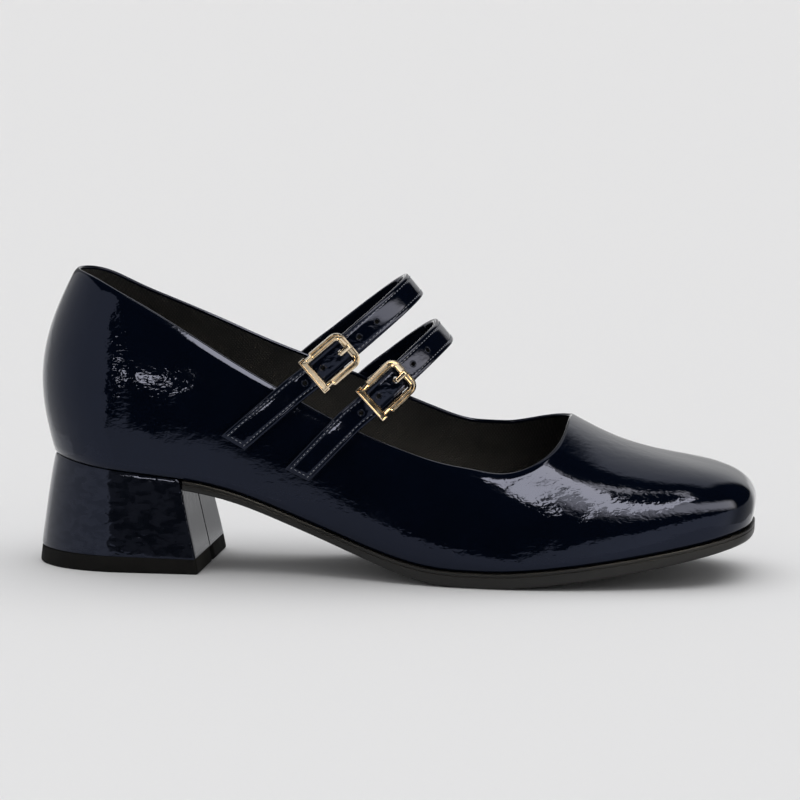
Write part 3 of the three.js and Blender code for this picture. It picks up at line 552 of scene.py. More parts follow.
def makeUpper():
    d = upperDetail
    x, share, throatRib = ribPlaces()
    foldRadius = last["wall"] / 2
    rims = {}
    parts = []
    for side in (-1, 1):
        rib = makeRibs(x, side, share, lower=0.025)
        depth = crown(x) - rib["foot"]
        outer = ribGrid(rib, last["featherRadius"] / depth, rib["top"], d["outerRows"])
        inner = ribGrid(rib, last["wall"] / (depth - last["wall"]), rib["top"], d["innerRows"], last["wall"])
        atOpening = np.arange(x.size) <= throatRib
        toEdge = np.linalg.norm(outer - outer[:, -1:], axis=2)
        roll = d["rollDepth"] * np.clip(1 - toEdge / d["rollWidth"], 0, 1) ** 2 * atOpening[:, None]
        wallWay = inner[:, -1:] - outer[:, -1:]
        outer = outer + roll[..., None] * wallWay / np.linalg.norm(wallWay, axis=2, keepdims=True)
        outer = pressCreases(outer, gridOutward(outer, side))

        def level(back, rise):
            spotX = rib["poleX"] + rib["awayX"] * (rib["run"] - back)
            spotY = rib["poleY"] + rib["awayY"] * (rib["run"] - back)
            return np.stack((spotX, spotY, foot(spotX) + rise), axis=-1)[:, None]

        r, w = last["featherRadius"], last["wall"]
        feather = [level(r * (1 - math.sin(a)), r * (1 - math.cos(a))) for a in np.linspace(0, 1.25, 4)]
        margin = [level(w + r, w), level(last["marginWidth"], w), level(last["marginWidth"], 0), level(r, 0)]
        outside = np.concatenate(feather + [outer], axis=1)
        inside = np.concatenate([inner[:, ::-1]] + margin, axis=1)
        for part, points, look in (("outside", outside, patent), ("inside", inside, lining)):
            parts.append(shapedGrid(f"{part}{side}", points))
            parts[-1].data.materials.append(look)
        rims[side] = (outer[:throatRib + 1, -1], inner[:throatRib + 1, -1])
    outerEdge = np.concatenate((rims[-1][0], rims[1][0][::-1][1:]))
    innerEdge = np.concatenate((rims[-1][1], rims[1][1][::-1][1:]))
    tangent = np.roll(outerEdge, -1, axis=0) - np.roll(outerEdge, 1, axis=0)
    tangent[0] = outerEdge[1] - outerEdge[-2]
    tangent[-1] = tangent[0]
    across = (outerEdge - innerEdge) / 2
    upward = np.cross(tangent, across)
    upward /= np.linalg.norm(upward, axis=1)[:, None]
    if upward[0, 2] < 0:
        upward = -upward
    middle = (outerEdge + innerEdge) / 2
    angles = np.linspace(0, np.pi, d["foldRows"] + 1)[None, :, None]
    fold = middle[:, None] + across[:, None] * np.cos(angles) + upward[:, None] * foldRadius * np.sin(angles)
    fold[:, 0], fold[:, -1] = outerEdge, innerEdge
    parts.append(shapedGrid("fold", fold))
    parts[-1].data.materials.append(patent)
    upper = joinPieces("patentUpper", parts)
    weld(upper)
    smoothPiece(upper)
    finishPiece(upper, "patent_leather", "upper")


makeUpper()
print("upper made")


# Points beside the lower outline, square to it, at a rise from the underside, the seat or the foot
def outlineEdge(x, share, side, outward, level, rise=0.0):
    step = 0.25
    ahead = np.clip(x + step, None, last["outlineEnd"] - 1e-4)
    behind = np.clip(x - step, last["outlineStart"] + 1e-4, None)
    tangentX, tangentY = ahead - behind, outlineY(ahead, side) - outlineY(behind, side)
    ends = share < 1e-6
    tangentX = np.where(ends, 0, tangentX)
    tangentY = np.where(ends, np.where(x < last["throatAt"], side, -side), tangentY)
    size = np.hypot(tangentX, tangentY)
    spotX = x - side * outward * tangentY / size
    spotY = outlineY(x, side, share) + side * outward * tangentX / size
    return np.stack((spotX, spotY, level(spotX) + rise), axis=-1)


def plateLoops(x, share, profile):  # closed loops across a plate; the profile runs from the top down
    outer = [outlineEdge(x, share, -1, *spot) for spot in profile]
    inner = [outlineEdge(x, share, 1, *spot) for spot in reversed(profile)]
    return np.stack(outer + inner + outer[:1], axis=1)


soleDetail = {"bevel": 1.1, "rimDrop": 0.9, "rimDepth": 0.25, "start": 55, "plateInset": 9}


def makeOutsole():
    d = soleDetail
    x, share, _ = ribPlaces()
    keep = x > d["start"] + 0.5
    x, share = np.concatenate(([d["start"]], x[keep])), np.concatenate(([1.0], share[keep]))
    edge, groove, rim = last["soleEdge"], last["soleEdge"] - d["rimDepth"], -d["rimDrop"]
    profile = [
        (-d["plateInset"], seat), (edge - 0.7, seat), (edge - 0.15, seat, -0.1), (edge, seat, -0.3),
        (edge, seat, rim), (groove, seat, rim - 0.15), (groove, seat, rim - 0.3),
        (edge - 0.05, seat, rim - 0.5),
    ]
    for turn in np.linspace(0, math.pi / 2, 5):
        inward = d["bevel"] * (1 - math.cos(turn)) + 0.05
        profile.append((edge - inward, underside, d["bevel"] * (1 - math.sin(turn))))
    profile.append((-d["plateInset"], underside))
    outsole = shapedGrid("outsoleUnit", plateLoops(x, share, profile))
    closeEnds(outsole)
    outsole.data.materials.append(sole)
    smoothPiece(outsole, 35)
    finishPiece(outsole, "outsole", "outsole")


def makeInsole():
    x, share, _ = ribPlaces()
    edge = -last["wall"] - last["insoleEase"]
    base = last["wall"] + last["clearance"]
    top = base + last["insoleThickness"]
    profile = [
        (edge - soleDetail["plateInset"], foot, top), (edge - 0.8, foot, top), (edge - 0.2, foot, top - 0.2),
        (edge, foot, top - 0.7), (edge, foot, base), (edge - soleDetail["plateInset"], foot, base),
    ]
    insole = shapedGrid("sockInsole", plateLoops(x, share, profile))
    weld(insole)
    insole.data.materials.append(lining)
    smoothPiece(insole, 35)
    finishPiece(insole, "lining", "insole")


makeOutsole()
makeInsole()
print("outsole and insole made")

heelBlock = {
    "breastAtSeat": 53.6, "breastAtFloor": 60.8, "backAtFloor": -0.9, "floorWidth": 54.8, "hollow": 0.8,
    "seatInset": 0.4, "topPiece": 5.8, "topInset": 0.25, "corner": 1.1, "levels": 26,
    "edgeRadius": 0.3, "seamHalf": 0.5, "seamDepth": 0.8, "middle": (28, 0),
    "notchHalf": 1.3, "notchDepth": 1.1,
}


def heelSpots(x, share, side, down, inset=0.0):  # block's side at shares down from the seat to the floor
    h = heelBlock
    edge = outlineEdge(x, share, side, -h["seatInset"], seat)
    place = (x - last["outlineStart"]) / (h["breastAtSeat"] - last["outlineStart"])
    flare = down ** (h["hollow"] + (1 - h["hollow"]) * place)
    floorX = h["backAtFloor"] + (h["breastAtFloor"] - h["backAtFloor"]) * place
    wide = h["floorWidth"] / 2 / (last["ballWidth"] * curve("half", h["breastAtSeat"]) - h["seatInset"])
    spotX = edge[:, 0] + (floorX - edge[:, 0]) * flare
    spotY = edge[:, 1] * (1 + (wide - 1) * flare)
    middle = (h["backAtFloor"] + h["breastAtFloor"]) / 2
    spotX = middle + (spotX - middle) * (1 - 2 * inset / (h["breastAtFloor"] - h["backAtFloor"]))
    spotY = spotY * (1 - 2 * inset / h["floorWidth"])
    return np.stack((spotX, spotY, edge[:, 2] * (1 - down)), axis=-1)


def heelRing(down, inset=0.0, height=None):  # closed loop round the block with rounded breast corners
    h = heelBlock
    along, up = superPoint(np.linspace(0, np.pi / 2, 29)[:-1], last["heelCapPower"])
    straight = np.linspace(last["outlineStart"] + last["heelCap"], h["breastAtSeat"], 13)
    x = np.concatenate((last["outlineStart"] + last["heelCap"] * (1 - along), straight))
    share = np.concatenate((up, np.ones(straight.size)))
    outer = heelSpots(x, share, -1, down, inset)
    inner = heelSpots(x, share, 1, down, inset)
    r = h["corner"]
    corners = []
    for loop in (outer, inner):
        cornerSpot, before = loop[-1], loop[-2]
        back = (before - cornerSpot) / np.linalg.norm(before - cornerSpot)
        side = np.array((0, -np.sign(cornerSpot[1] + 1e-9), 0))
        turns = np.linspace(0, 1, 6)[:, None]
        corners.append(cornerSpot + back * r * (1 - turns) ** 2 + side * r * turns ** 2)
    nearSeam = np.array([0.48, 0.489, 0.4935, 0.5, 0.5065, 0.511, 0.52])
    t = np.concatenate((np.linspace(0, 0.47, 12)[1:], nearSeam, np.linspace(0.53, 1, 12)[:-1]))[:, None]
    breast = corners[0][-1] * (1 - t) + corners[1][-1] * t
    loop = np.concatenate((outer[:-1], corners[0], breast, corners[1][::-1], inner[:-1][::-1]))
    if height is not None:
        loop[:, 2] = height
    return loop


def softenEnds(rings, radius, middle):  # pulls the rings in at both ends of a block
    for i, ring in enumerate(rings):
        fromEnd = min(i, len(rings) - 1 - i)
        inward = np.array(middle) - ring[:, :2]
        inward /= np.linalg.norm(inward, axis=1)[:, None]
        ring[:, :2] += inward * radius * (1 - min(1, fromEnd / 3)) ** 2


def makeHeel():
    h = heelBlock
    lowest = 1 - (h["topPiece"] + last["clearance"]) / float(seat(0.0))
    downs = np.concatenate(([0, 0.012, 0.026], np.linspace(0.045, 0.965, h["levels"]), [0.982, 0.994, 1.0]))
    rings = []
    for down in downs:
        ring = heelRing(lowest * down)
        if down == 1.0:
            ring[:, 2] = h["topPiece"] + last["clearance"]
        rings.append(ring)
    softenEnds(rings, h["edgeRadius"], h["middle"])
    for ring in rings[1:-1]:  # the cover's edges meet in a seam down the middle of the breast
        atSeam = np.clip(1 - np.abs(ring[:, 1]) / h["seamHalf"], 0, 1)
        ring[:, 0] -= np.where(ring[:, 0] > h["middle"][0], atSeam * h["seamDepth"], 0)
    block = shapedGrid("heelCover", np.stack([np.concatenate((ring, ring[:1])) for ring in rings]))
    closeEnds(block)
    block.data.materials.append(heelPatent)
    smoothPiece(block, 40)
    finishPiece(block, "patent_leather", "heel")


def makeTopPiece():
    h = heelBlock
    rings = []
    for height, pull in ((h["topPiece"], 0.35), (5.65, 0.1), (5.4, 0), (4.2, 0), (2.4, 0), (1.0, 0),
                         (0.35, 0.12), (0.0, 0.5)):
        ring = heelRing(1 - height / float(seat(0.0)), h["topInset"] + pull, height)
        front = (ring[:, 0] > h["breastAtFloor"] - 1.5) & (np.abs(ring[:, 1]) < h["notchHalf"])
        ring[front, 0] -= h["notchDepth"]  # small notch in the middle of the front
        rings.append(ring)
    top = shapedGrid("heelTip", np.stack([np.concatenate((ring, ring[:1])) for ring in rings]))
    closeEnds(top)
    top.data.materials.append(heelRubber)
    smoothPiece(top, 40)
    finishPiece(top, "heel_rubber", "heel_top_piece")


makeHeel()
makeTopPiece()
print("heel made")

strapSize = {
    "width": 9.0, "thickness": 2, "tipSkew": 20, "archPower": 2.3, "wallEase": 0.25, "leaveRun": 11,
    "holePitch": 7.9, "holeRadius": 0.78, "prongHoleRadius": 1.2, "holeDepth": 3.2, "buckleUp": 18.1,
    "stitchInset": 1.45, "stitchPitch": 1.55, "stitchLength": 1.1, "stitchWidth": 0.36, "stitchEnd": 1.6,
}
straps = {
    "rear": {"outerAt": 0.3737, "innerAt": 0.377, "outerSlope": 40.4, "innerSlope": 39, "archSlope": 39.2,
             "tab": 25.9, "reach": 47.7, "bow": 0.4},
    "front": {"outerAt": 0.4535, "innerAt": 0.456, "outerSlope": 45.6, "innerSlope": 40, "archSlope": 39.6,
              "tab": 24.6, "reach": 35.7, "bow": 1.2},
}


def wallSpots(side, x, z):  # points of the upper's outside at given x and z, and the directions out of it
    def spot(atX, atZ):
        base = atX.copy()
        for _ in range(10):
            rib = makeRibs(base, side)
            low, high = np.zeros_like(base), np.full_like(base, 0.95)
            for _ in range(26):
                height = (low + high) / 2
                point = ribPoints(rib, height)
                under = point[..., 2] < atZ
                low, high = np.where(under, height, low), np.where(under, high, height)
            base += atX - point[..., 0]
        return point

    at = spot(x, z)
    out = np.cross(spot(x + 1, z) - at, spot(x, z + 1) - at) * -side
    return at, out / np.linalg.norm(out, axis=-1, keepdims=True)


class StrapPath:  # the strap's run: outer tab on the wall, free arch, inner tab
    def __init__(self, strap):
        self.strap = strap
        self.crossOuter, self.footOuter = self.crossing(-1, strap["outerAt"])
        self.crossInner, self.footInner = self.crossing(1, strap["innerAt"])
        self.middle = (self.footOuter + self.footInner) / 2
        self.half = self.footInner - self.middle
        slope = math.radians(strap["archSlope"])
        self.rise = np.array((math.cos(slope), 0, math.sin(slope))) * strap["reach"]
        across = np.cross(self.half, self.rise)
        self.across = across / np.linalg.norm(across)
        self.angles = np.linspace(0, np.pi, 601)
        path = self.archPoint(self.angles)
        self.lengths = np.concatenate(([0], np.cumsum(np.linalg.norm(np.diff(path, axis=0), axis=1))))
        self.total = self.lengths[-1]

    def crossing(self, side, at):
        x = np.array([at * last["shoeLength"]])
        rib = makeRibs(x, side)
        cross = ribPoints(rib, rib["top"])[0]
        spot, out = wallSpots(side, cross[:1], cross[2:])
        return cross, spot[0] + out[0] * last["clearance"]

    def archPoint(self, angle):
        flip = angle > np.pi / 2
        along, up = superPoint(np.where(flip, np.pi - angle, angle), strapSize["archPower"])
        bent = np.where(flip, 0, self.strap["bow"] * np.sin(2 * angle))
        return (self.middle + np.where(flip, along, -along)[..., None] * self.half
                + up[..., None] * self.rise - bent[..., None] * self.across)

    def archFrame(self, length):  # origin, forward, across and outward, for an array of lengths
        angle = np.interp(length, self.lengths, self.angles)
        step = 0.01
        forward = self.archPoint(np.minimum(angle + step, np.pi))
        forward = forward - self.archPoint(np.maximum(angle - step, 0))
        forward /= np.linalg.norm(forward, axis=-1, keepdims=True)
        outward = np.cross(self.across, forward)
        outward /= np.linalg.norm(outward, axis=-1, keepdims=True)
        return self.archPoint(angle), forward, np.cross(forward, outward), outward

    def field(self, along, across):  # inner-face points and outward steps for rows of lengths and offsets
        s, a = np.meshgrid(along, across, indexing="ij")
        base, lift = np.zeros(s.shape + (3,)), np.zeros(s.shape + (3,))
        nearOuter = s < self.total / 2
        past = np.where(nearOuter, s, self.total - s)
        origin, _, sideways, outward = self.archFrame(np.clip(s, 0, self.total))
        free = origin + sideways * a[..., None]
        for side, cross, slope, here in ((-1, self.crossOuter, self.strap["outerSlope"], nearOuter),
                                         (1, self.crossInner, self.strap["innerSlope"], ~nearOuter)):
            here = here & (past < strapSize["leaveRun"])
            ahead, up = math.cos(math.radians(slope)), math.sin(math.radians(slope))
            p, w = past[here], a[here]
            slant = np.clip(-p / self.strap["tab"], 0, None) * math.tan(math.radians(strapSize["tipSkew"]))
            run = p + w * slant
            spot, out = wallSpots(side, cross[0] + run * ahead + w * up, cross[2] + run * up - w * ahead)
            spot = spot + out * (last["clearance"] + strapSize["wallEase"])
            t = np.clip(p / strapSize["leaveRun"], 0, 1)[:, None]
            share = t * t * (3 - 2 * t)
            base[here] = spot * (1 - share) + free[here] * share
            lift[here] = out * (1 - share) + outward[here] * share
        air = past >= strapSize["leaveRun"]
        base[air], lift[air] = free[air], outward[air]
        return base, lift


strapProfile = (  # offset from the edge, out of the inner face; half of it, mirrored across the strap
    (2.6, 0.0), (0.45, 0.0), (0.15, 0.1), (0.0, 0.38), (0.0, 0.8), (0.07, 0.93), (0.07, 1.07), (0.0, 1.2),
    (0.0, 1.62), (0.12, 1.86), (0.42, 2.0), (0.85, 2.02), (1.15, 1.97), (1.32, 1.86), (1.45, 1.82),
    (1.58, 1.86), (1.78, 1.96), (2.2, 2.01), (3.1, 2.03), (4.2, 2.035),
)


def makeStrap(name):
    strap, size = straps[name], strapSize
    path = StrapPath(strap)
    half = size["width"] / 2
    left = [(-half + inset, out) for inset, out in strapProfile]
    right = [(half - inset, out) for inset, out in reversed(strapProfile[:-1])]
    profile = left + right
    offsets = np.array([offset for offset, out in profile])
    outs = np.array([out for offset, out in profile])
    tabSteps = np.linspace(-strap["tab"], 0, 27)[:-1]
    airSteps = np.linspace(0, path.total, 120)
    along = np.concatenate((tabSteps, airSteps, path.total + np.linspace(0, strap["tab"], 27)[1:]))
    base, lift = path.field(along, offsets)
    rings = base + lift * outs[None, :, None]
    for ends in ((0, 1, 2), (-1, -2, -3)):  # the tips are rounded over
        for i, pull in zip(ends, (0.42, 0.14, 0.0)):
            rings[i, :, :] -= lift[i] * np.clip(outs - size["thickness"] / 2, 0, None)[:, None] * pull
    strapPiece = shapedGrid("strap" + name.capitalize(), np.concatenate((rings, rings[:, :1]), axis=1))
    closeEnds(strapPiece)
    strapPiece.data.materials.append(strapPatent)
    punchHoles(strapPiece, path)
    smoothPiece(strapPiece, 50)
    finishPiece(strapPiece, "patent_leather", "strap_" + name)
    makeStitches(name, path)
    return path


def holeFrames(path):
    size = strapSize
    prongAt = buckle["length"] / 2 - buckle["bar"] - buckle["prongReach"]
    for step in (-2, -1, 0, 1, 2):
        length = size["buckleUp"] + prongAt + step * size["holePitch"]
        radius = size["prongHoleRadius"] if step == 0 else size["holeRadius"]
        yield step, radius, localFrame(path, length)


def localFrame(path, length):  # matrix from (along, back across, out) in mm to the shoe in metres
    origin, forward, across, outward = [v[0] for v in path.archFrame(np.array([float(length)]))]
    axes = np.eye(4)
    axes[:3, 0], axes[:3, 1], axes[:3, 2] = forward * mm, -across * mm, outward * mm
    axes[:3, 3] = (origin + shift) * mm
    return Matrix(axes.tolist())


def punchHoles(strapPiece, path):
    for step, radius, place in holeFrames(path):
        clearSelection()
        deep = 6 if step == 0 else strapSize["holeDepth"]  # only the prong's hole is cut right through
        bpy.ops.mesh.primitive_cylinder_add(vertices=20, radius=radius, depth=deep,
                                            location=(0, 0, strapSize["thickness"]))
        punch = bpy.context.object
        bpy.ops.object.transform_apply(location=True, rotation=True, scale=True)
        punch.data.transform(place)
        punch.data.materials.append(lining)
        applyModifier(strapPiece, "BOOLEAN", object=punch, operation="DIFFERENCE", solver="EXACT",
                      material_mode="TRANSFER")
        bpy.data.objects.remove(punch)


def makeStitches(name, path):  # two rows of thread along the strap, joined across its outer tip
    size, strap = strapSize, straps[name]
    half = size["width"] / 2 - size["stitchInset"]
    start, end = size["stitchEnd"] - strap["tab"], path.total + strap["tab"] - size["stitchEnd"]
    places = np.linspace(start, end, int((end - start) / size["stitchPitch"]))
    places = places[np.abs(places - size["buckleUp"]) > buckle["length"] / 2]  # none within the frame
    runs = [(places, np.array([offset])) for offset in (-half, half)]
    tips = [(np.array([at]), np.linspace(-half, half, 5)[1:-1]) for at in (start, end)]
    clearSelection()
    bpy.ops.mesh.primitive_uv_sphere_add(segments=6, ring_count=5, radius=0.5)
    pattern = bpy.context.object
    body = pattern.data.copy()
    bpy.data.objects.remove(pattern)
    copies = []
    for lengths, offsets in runs + tips:
        base, lift = path.field(lengths, offsets)
        ahead = path.field(lengths + 0.2, offsets)[0]
        aside = path.field(lengths, offsets + 0.2)[0]
        crossways = offsets.size > 1
        for i, j in np.ndindex(base.shape[:2]):
            travel = (aside if crossways else ahead)[i, j] - base[i, j]
            travel /= np.linalg.norm(travel)
            out = lift[i, j] / np.linalg.norm(lift[i, j])
            turn = np.cross(out, travel)
            axes = np.eye(4)
            axes[:3, 0] = travel * size["stitchLength"] * mm
            axes[:3, 1] = turn * size["stitchWidth"] * mm
            axes[:3, 2] = out * size["stitchWidth"] * 0.9 * mm
            axes[:3, 3] = (base[i, j] + out * (size["thickness"] - 0.06) + shift) * mm
            mesh = body.copy()
            mesh.transform(Matrix(axes.tolist()))
            stitch = bpy.data.objects.new("stitch", mesh)
            bpy.context.collection.objects.link(stitch)
            copies.append(stitch)
    row = joinPieces("stitches" + name.capitalize(), copies)
    row.data.materials.append(thread)
    smoothPiece(row)
    finishPiece(row, "patent_leather")


buckle = {
    "width": 14, "length": 17.6, "bar": 2.4, "height": 1.8, "corner": 3.6, "keeper": 13.9,
    "neckLength": 2.3, "neckInset": 0.8, "prongReach": 2.1, "prongWidth": 1.6, "prongHeight": 1.1,
    "hingeBack": 1, "hingeRadius": 0.7, "earHalf": 1.1, "slack": 0.55, "curl": 0.6, "notch": 0.8,
    "rim": 0.55, "slope": 0.25, "channel": 0.3, "notchWidth": 2.1,
}


def selectVerts(piece, test):
    bpy.ops.object.mode_set(mode="OBJECT")
    for vert in piece.data.vertices:
        vert.select = test(vert.co)
    for edge in piece.data.edges:
        edge.select = all(piece.data.vertices[i].select for i in edge.vertices)
    for face in piece.data.polygons:
        face.select = all(piece.data.vertices[i].select for i in face.vertices)
    bpy.ops.object.mode_set(mode="EDIT")


def selectFaces(piece, test):
    bpy.ops.object.mode_set(mode="EDIT")
    bpy.ops.mesh.select_all(action="DESELECT")
    bpy.ops.mesh.select_mode(type="FACE")
    bpy.ops.object.mode_set(mode="OBJECT")
    for face in piece.data.polygons:
        face.select = test(face)
    bpy.ops.object.mode_set(mode="EDIT")


def boxPiece(name, low, high, bevel=0.0, segments=3):  # a bevelled bar between two corners, in local mm
    clearSelection()
    bpy.ops.mesh.primitive_cube_add(size=1)
    bar = bpy.context.object
    bar.name = name
    low, high = Vector(low), Vector(high)
    for vert in bar.data.vertices:
        vert.co = Vector([low[i] if vert.co[i] < 0 else high[i] for i in range(3)])
    if bevel:
        bpy.ops.object.mode_set(mode="EDIT")
        bpy.ops.mesh.select_all(action="SELECT")
        bpy.ops.mesh.bevel(offset=bevel, segments=segments, profile=0.6)
        bpy.ops.object.mode_set(mode="OBJECT")
    return bar


def makeFrameRing():  # the frame's U: a plate rounded at two corners, inset, opened, thickened and stepped
    b = buckle
    long, wide = b["length"] / 2, b["width"] / 2
    clearSelection()
    bpy.ops.mesh.primitive_plane_add(size=1)
    ring = bpy.context.object
    for vert in ring.data.vertices:
        vert.co = Vector((long if vert.co.x > 0 else -long, wide if vert.co.y > 0 else -wide, 0))
    selectVerts(ring, lambda co: co.x > 0)
    bpy.ops.mesh.bevel(offset=b["corner"], segments=8, affect="VERTICES")
    bpy.ops.mesh.select_all(action="SELECT")
    bpy.ops.mesh.inset(thickness=b["bar"], depth=0)
    bpy.ops.mesh.delete(type="FACE")
    edges = (-long + b["bar"] + b["neckLength"], -long + b["bar"] + b["neckLength"] - 0.5)
    for at in edges:
        bpy.ops.mesh.select_all(action="SELECT")
        bpy.ops.mesh.bisect(plane_co=(at, 0, 0), plane_no=(1, 0, 0))
    for side in (-1, 1):
        selectVerts(ring, lambda co: co.x < edges[1] + 0.01 and co.y * side > wide - 0.1)
        bpy.ops.transform.translate(value=(0, -side * b["neckInset"], 0))
    selectFaces(ring, lambda face: face.center.x < -long + b["bar"] * 0.7 and abs(face.center.y) < wide / 2)
    bpy.ops.mesh.delete(type="FACE")
    bpy.ops.mesh.select_all(action="SELECT")
    bpy.ops.mesh.extrude_region_move(TRANSFORM_OT_translate={"value": (0, 0, b["height"])})
    bpy.ops.mesh.inset(thickness=b["rim"], depth=0)
    bpy.ops.mesh.inset(thickness=b["slope"], depth=-b["channel"])
    bpy.ops.mesh.select_all(action="SELECT")
    bpy.ops.mesh.normals_make_consistent(inside=False)
    bpy.ops.object.mode_set(mode="OBJECT")
    applyModifier(ring, "BEVEL", width=0.16, segments=3, limit_method="ANGLE", angle_limit=math.radians(40))
    return ring


def makeFrame(name, path):
    b = buckle
    long, wide, base = b["length"] / 2, b["width"] / 2, strapSize["thickness"] + last["clearance"]
    ring = makeFrameRing()
    ring.data.transform(Matrix.Translation((0, 0, base)))
    top = base + b["height"]
    half = b["keeper"] / 2
    keeper = boxPiece("keeper", (-long, -half, base), (-long + b["bar"], half, top), 0.3)
    selectFaces(keeper, lambda face: face.normal.z > 0.99)
    bpy.ops.mesh.inset(thickness=b["rim"] * 0.4, depth=0)
    bpy.ops.mesh.inset(thickness=b["slope"], depth=-b["channel"])
    bpy.ops.object.mode_set(mode="OBJECT")
    half = b["notchWidth"] / 2
    cut = boxPiece("cut", (long - b["bar"] * 2, -half, top - b["notch"]), (long + b["bar"], half, top + 2))
    applyModifier(ring, "BOOLEAN", object=cut, operation="DIFFERENCE", solver="EXACT")
    bpy.data.objects.remove(cut)
    hingeOut = -(b["slack"] + b["curl"] + last["clearance"] + b["hingeRadius"])
    inner = wide - b["bar"]
    parts = [ring, keeper]
    for side in (-1, 1):
        low, high = sorted((side * inner, side * (wide - 0.5)))
        parts.append(boxPiece("ear", (-b["hingeBack"] - b["earHalf"], low, hingeOut - 0.84),
                              (-b["hingeBack"] + b["earHalf"], high, base + b["height"] / 2), 0.3))
    clearSelection()
    bpy.ops.mesh.primitive_cylinder_add(
        vertices=24, radius=b["hingeRadius"], depth=b["width"] - b["bar"],
        location=(-b["hingeBack"], 0, hingeOut), rotation=(math.pi / 2, 0, 0))
    bpy.ops.object.transform_apply(location=True, rotation=True, scale=True)
    parts.append(bpy.context.object)
    whole = joinPieces("buckle" + name.capitalize(), parts)
    whole.data.transform(localFrame(path, strapSize["buckleUp"]))
    whole.data.materials.append(gold)
    smoothPiece(whole, 35)
    finishPiece(whole, "buckle_metal", "buckle_frame_" + name)


def makeProng(name, path):  # a curl round the hinge bar, an arm under the strap and a tip over the far bar
    b = buckle
    base = strapSize["thickness"] + last["clearance"]
    hingeOut = -(b["slack"] + b["curl"] + last["clearance"] + b["hingeRadius"])
    curl = b["hingeRadius"] + last["clearance"] + b["curl"]
    armTop, half = hingeOut + curl, b["prongWidth"] / 2
    rest = base + b["height"] - b["notch"] + last["clearance"]
    at = b["length"] / 2 - b["bar"] - b["prongReach"]
    left, right, tip = at - b["prongHeight"] / 2, at + b["prongHeight"] / 2, b["length"] / 2 - b["bar"] * 0.3
    parts = [
        boxPiece("arm", (-b["hingeBack"], -half, armTop - b["prongHeight"]), (right, half, armTop), 0.25),
        boxPiece("riser", (left, -half, armTop - 1), (right, half, rest + b["prongHeight"]), 0.35, 4),
        boxPiece("tip", (left, -half, rest), (tip, half, rest + b["prongHeight"]), 0.42, 5),
    ]
    clearSelection()
    bpy.ops.mesh.primitive_torus_add(
        major_radius=(curl + b["hingeRadius"] + last["clearance"]) / 2, minor_radius=b["curl"] / 2,
        major_segments=28, minor_segments=10, location=(-b["hingeBack"], 0, hingeOut),
        rotation=(math.pi / 2, 0, 0))
    bpy.ops.object.transform_apply(location=True, rotation=True, scale=True)
    parts.append(bpy.context.object)
    whole = joinPieces("prong" + name.capitalize(), parts)
    whole.data.transform(localFrame(path, strapSize["buckleUp"]))
    whole.data.materials.append(gold)
    smoothPiece(whole, 35)
    finishPiece(whole, "buckle_metal", "buckle_prong_" + name)


def makeHoleRings(name, path):  # leather pressed in round each punched hole
    rings = []
    for step, radius, place in holeFrames(path):
        if step == 0:
            continue
        clearSelection()
        bpy.ops.mesh.primitive_torus_add(major_radius=radius + 0.28, minor_radius=0.22, major_segments=28,
                                         minor_segments=8, location=(0, 0, strapSize["thickness"] + 0.08))
        bpy.ops.object.transform_apply(location=True, rotation=True, scale=True)
        bpy.context.object.data.transform(place)
        rings.append(bpy.context.object)
    whole = joinPieces("holeRings" + name.capitalize(), rings)
    whole.data.materials.append(strapPatent)
    smoothPiece(whole)
    finishPiece(whole, "patent_leather")


for strapName in straps:
    strapPath = makeStrap(strapName)
    makeFrame(strapName, strapPath)
    makeProng(strapName, strapPath)
    makeHoleRings(strapName, strapPath)
    print("strap and buckle made:", strapName)

# Finishes of the solids underneath
solidLooks = (("buckle", gold), ("strap", strapPatent), ("heel_top", heelRubber), ("heel", heelPatent),
              ("outsole", sole), ("insole", lining), ("upper", patent))
for nodeName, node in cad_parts.items():
    look = next(finish for start, finish in solidLooks if nodeName.startswith(start))
    node.data.materials.clear()
    node.data.materials.append(look)

# Stage: pale floor, soft light, camera at the height and side of the photograph
stage = {
    "floorSize": 60, "floorTone": (0.78, 0.78, 0.785, 1), "skyTone": (0.76, 0.76, 0.765, 1),
    "target": (2.2, 0.87, 58.4), "turn": 8, "raise": 8, "distance": 1300, "lens": 168.5,
    "sunPower": 1.6, "sunAngle": 80, "sunTilt": (-9, 4), "fill": 0.64,
    "nearFloor": (0.34, 0.15),  # metres
}


def mirroredOnly(piece):  # only the gloss sees the piece
    for ray in ("camera", "diffuse", "shadow", "transmission"):
        setattr(piece, "visible_" + ray, False)


def makeFloor():
    clearSelection()
    bpy.ops.mesh.primitive_plane_add(size=stage["floorSize"], location=(0, 0, 0))
    floor = bpy.context.object
    floor.name = "floor"
    board = Board("paleFloor")
    tone = board.blend(board.noise(board.place(), 900, detail=1), stage["floorTone"], stage["floorTone"])
    floor.data.materials.append(board.finish(Base_Color=tone, Roughness=0.9, Specular_IOR_Level=0.1))
    floor.visible_glossy = False  # the world stands for it in the gloss, but for a part close by
    bpy.ops.mesh.primitive_grid_add(x_subdivisions=4, y_subdivisions=2, size=1, location=(0, 0, 0))
    near = bpy.context.object
    near.name = "nearFloor"
    near.data.transform(Matrix.Diagonal((*stage["nearFloor"], 1, 1)))
    near.data.transform(Matrix.Translation((0, 0, 0.0002)))
    near.data.materials.append(floor.data.materials[0])
    mirroredOnly(near)


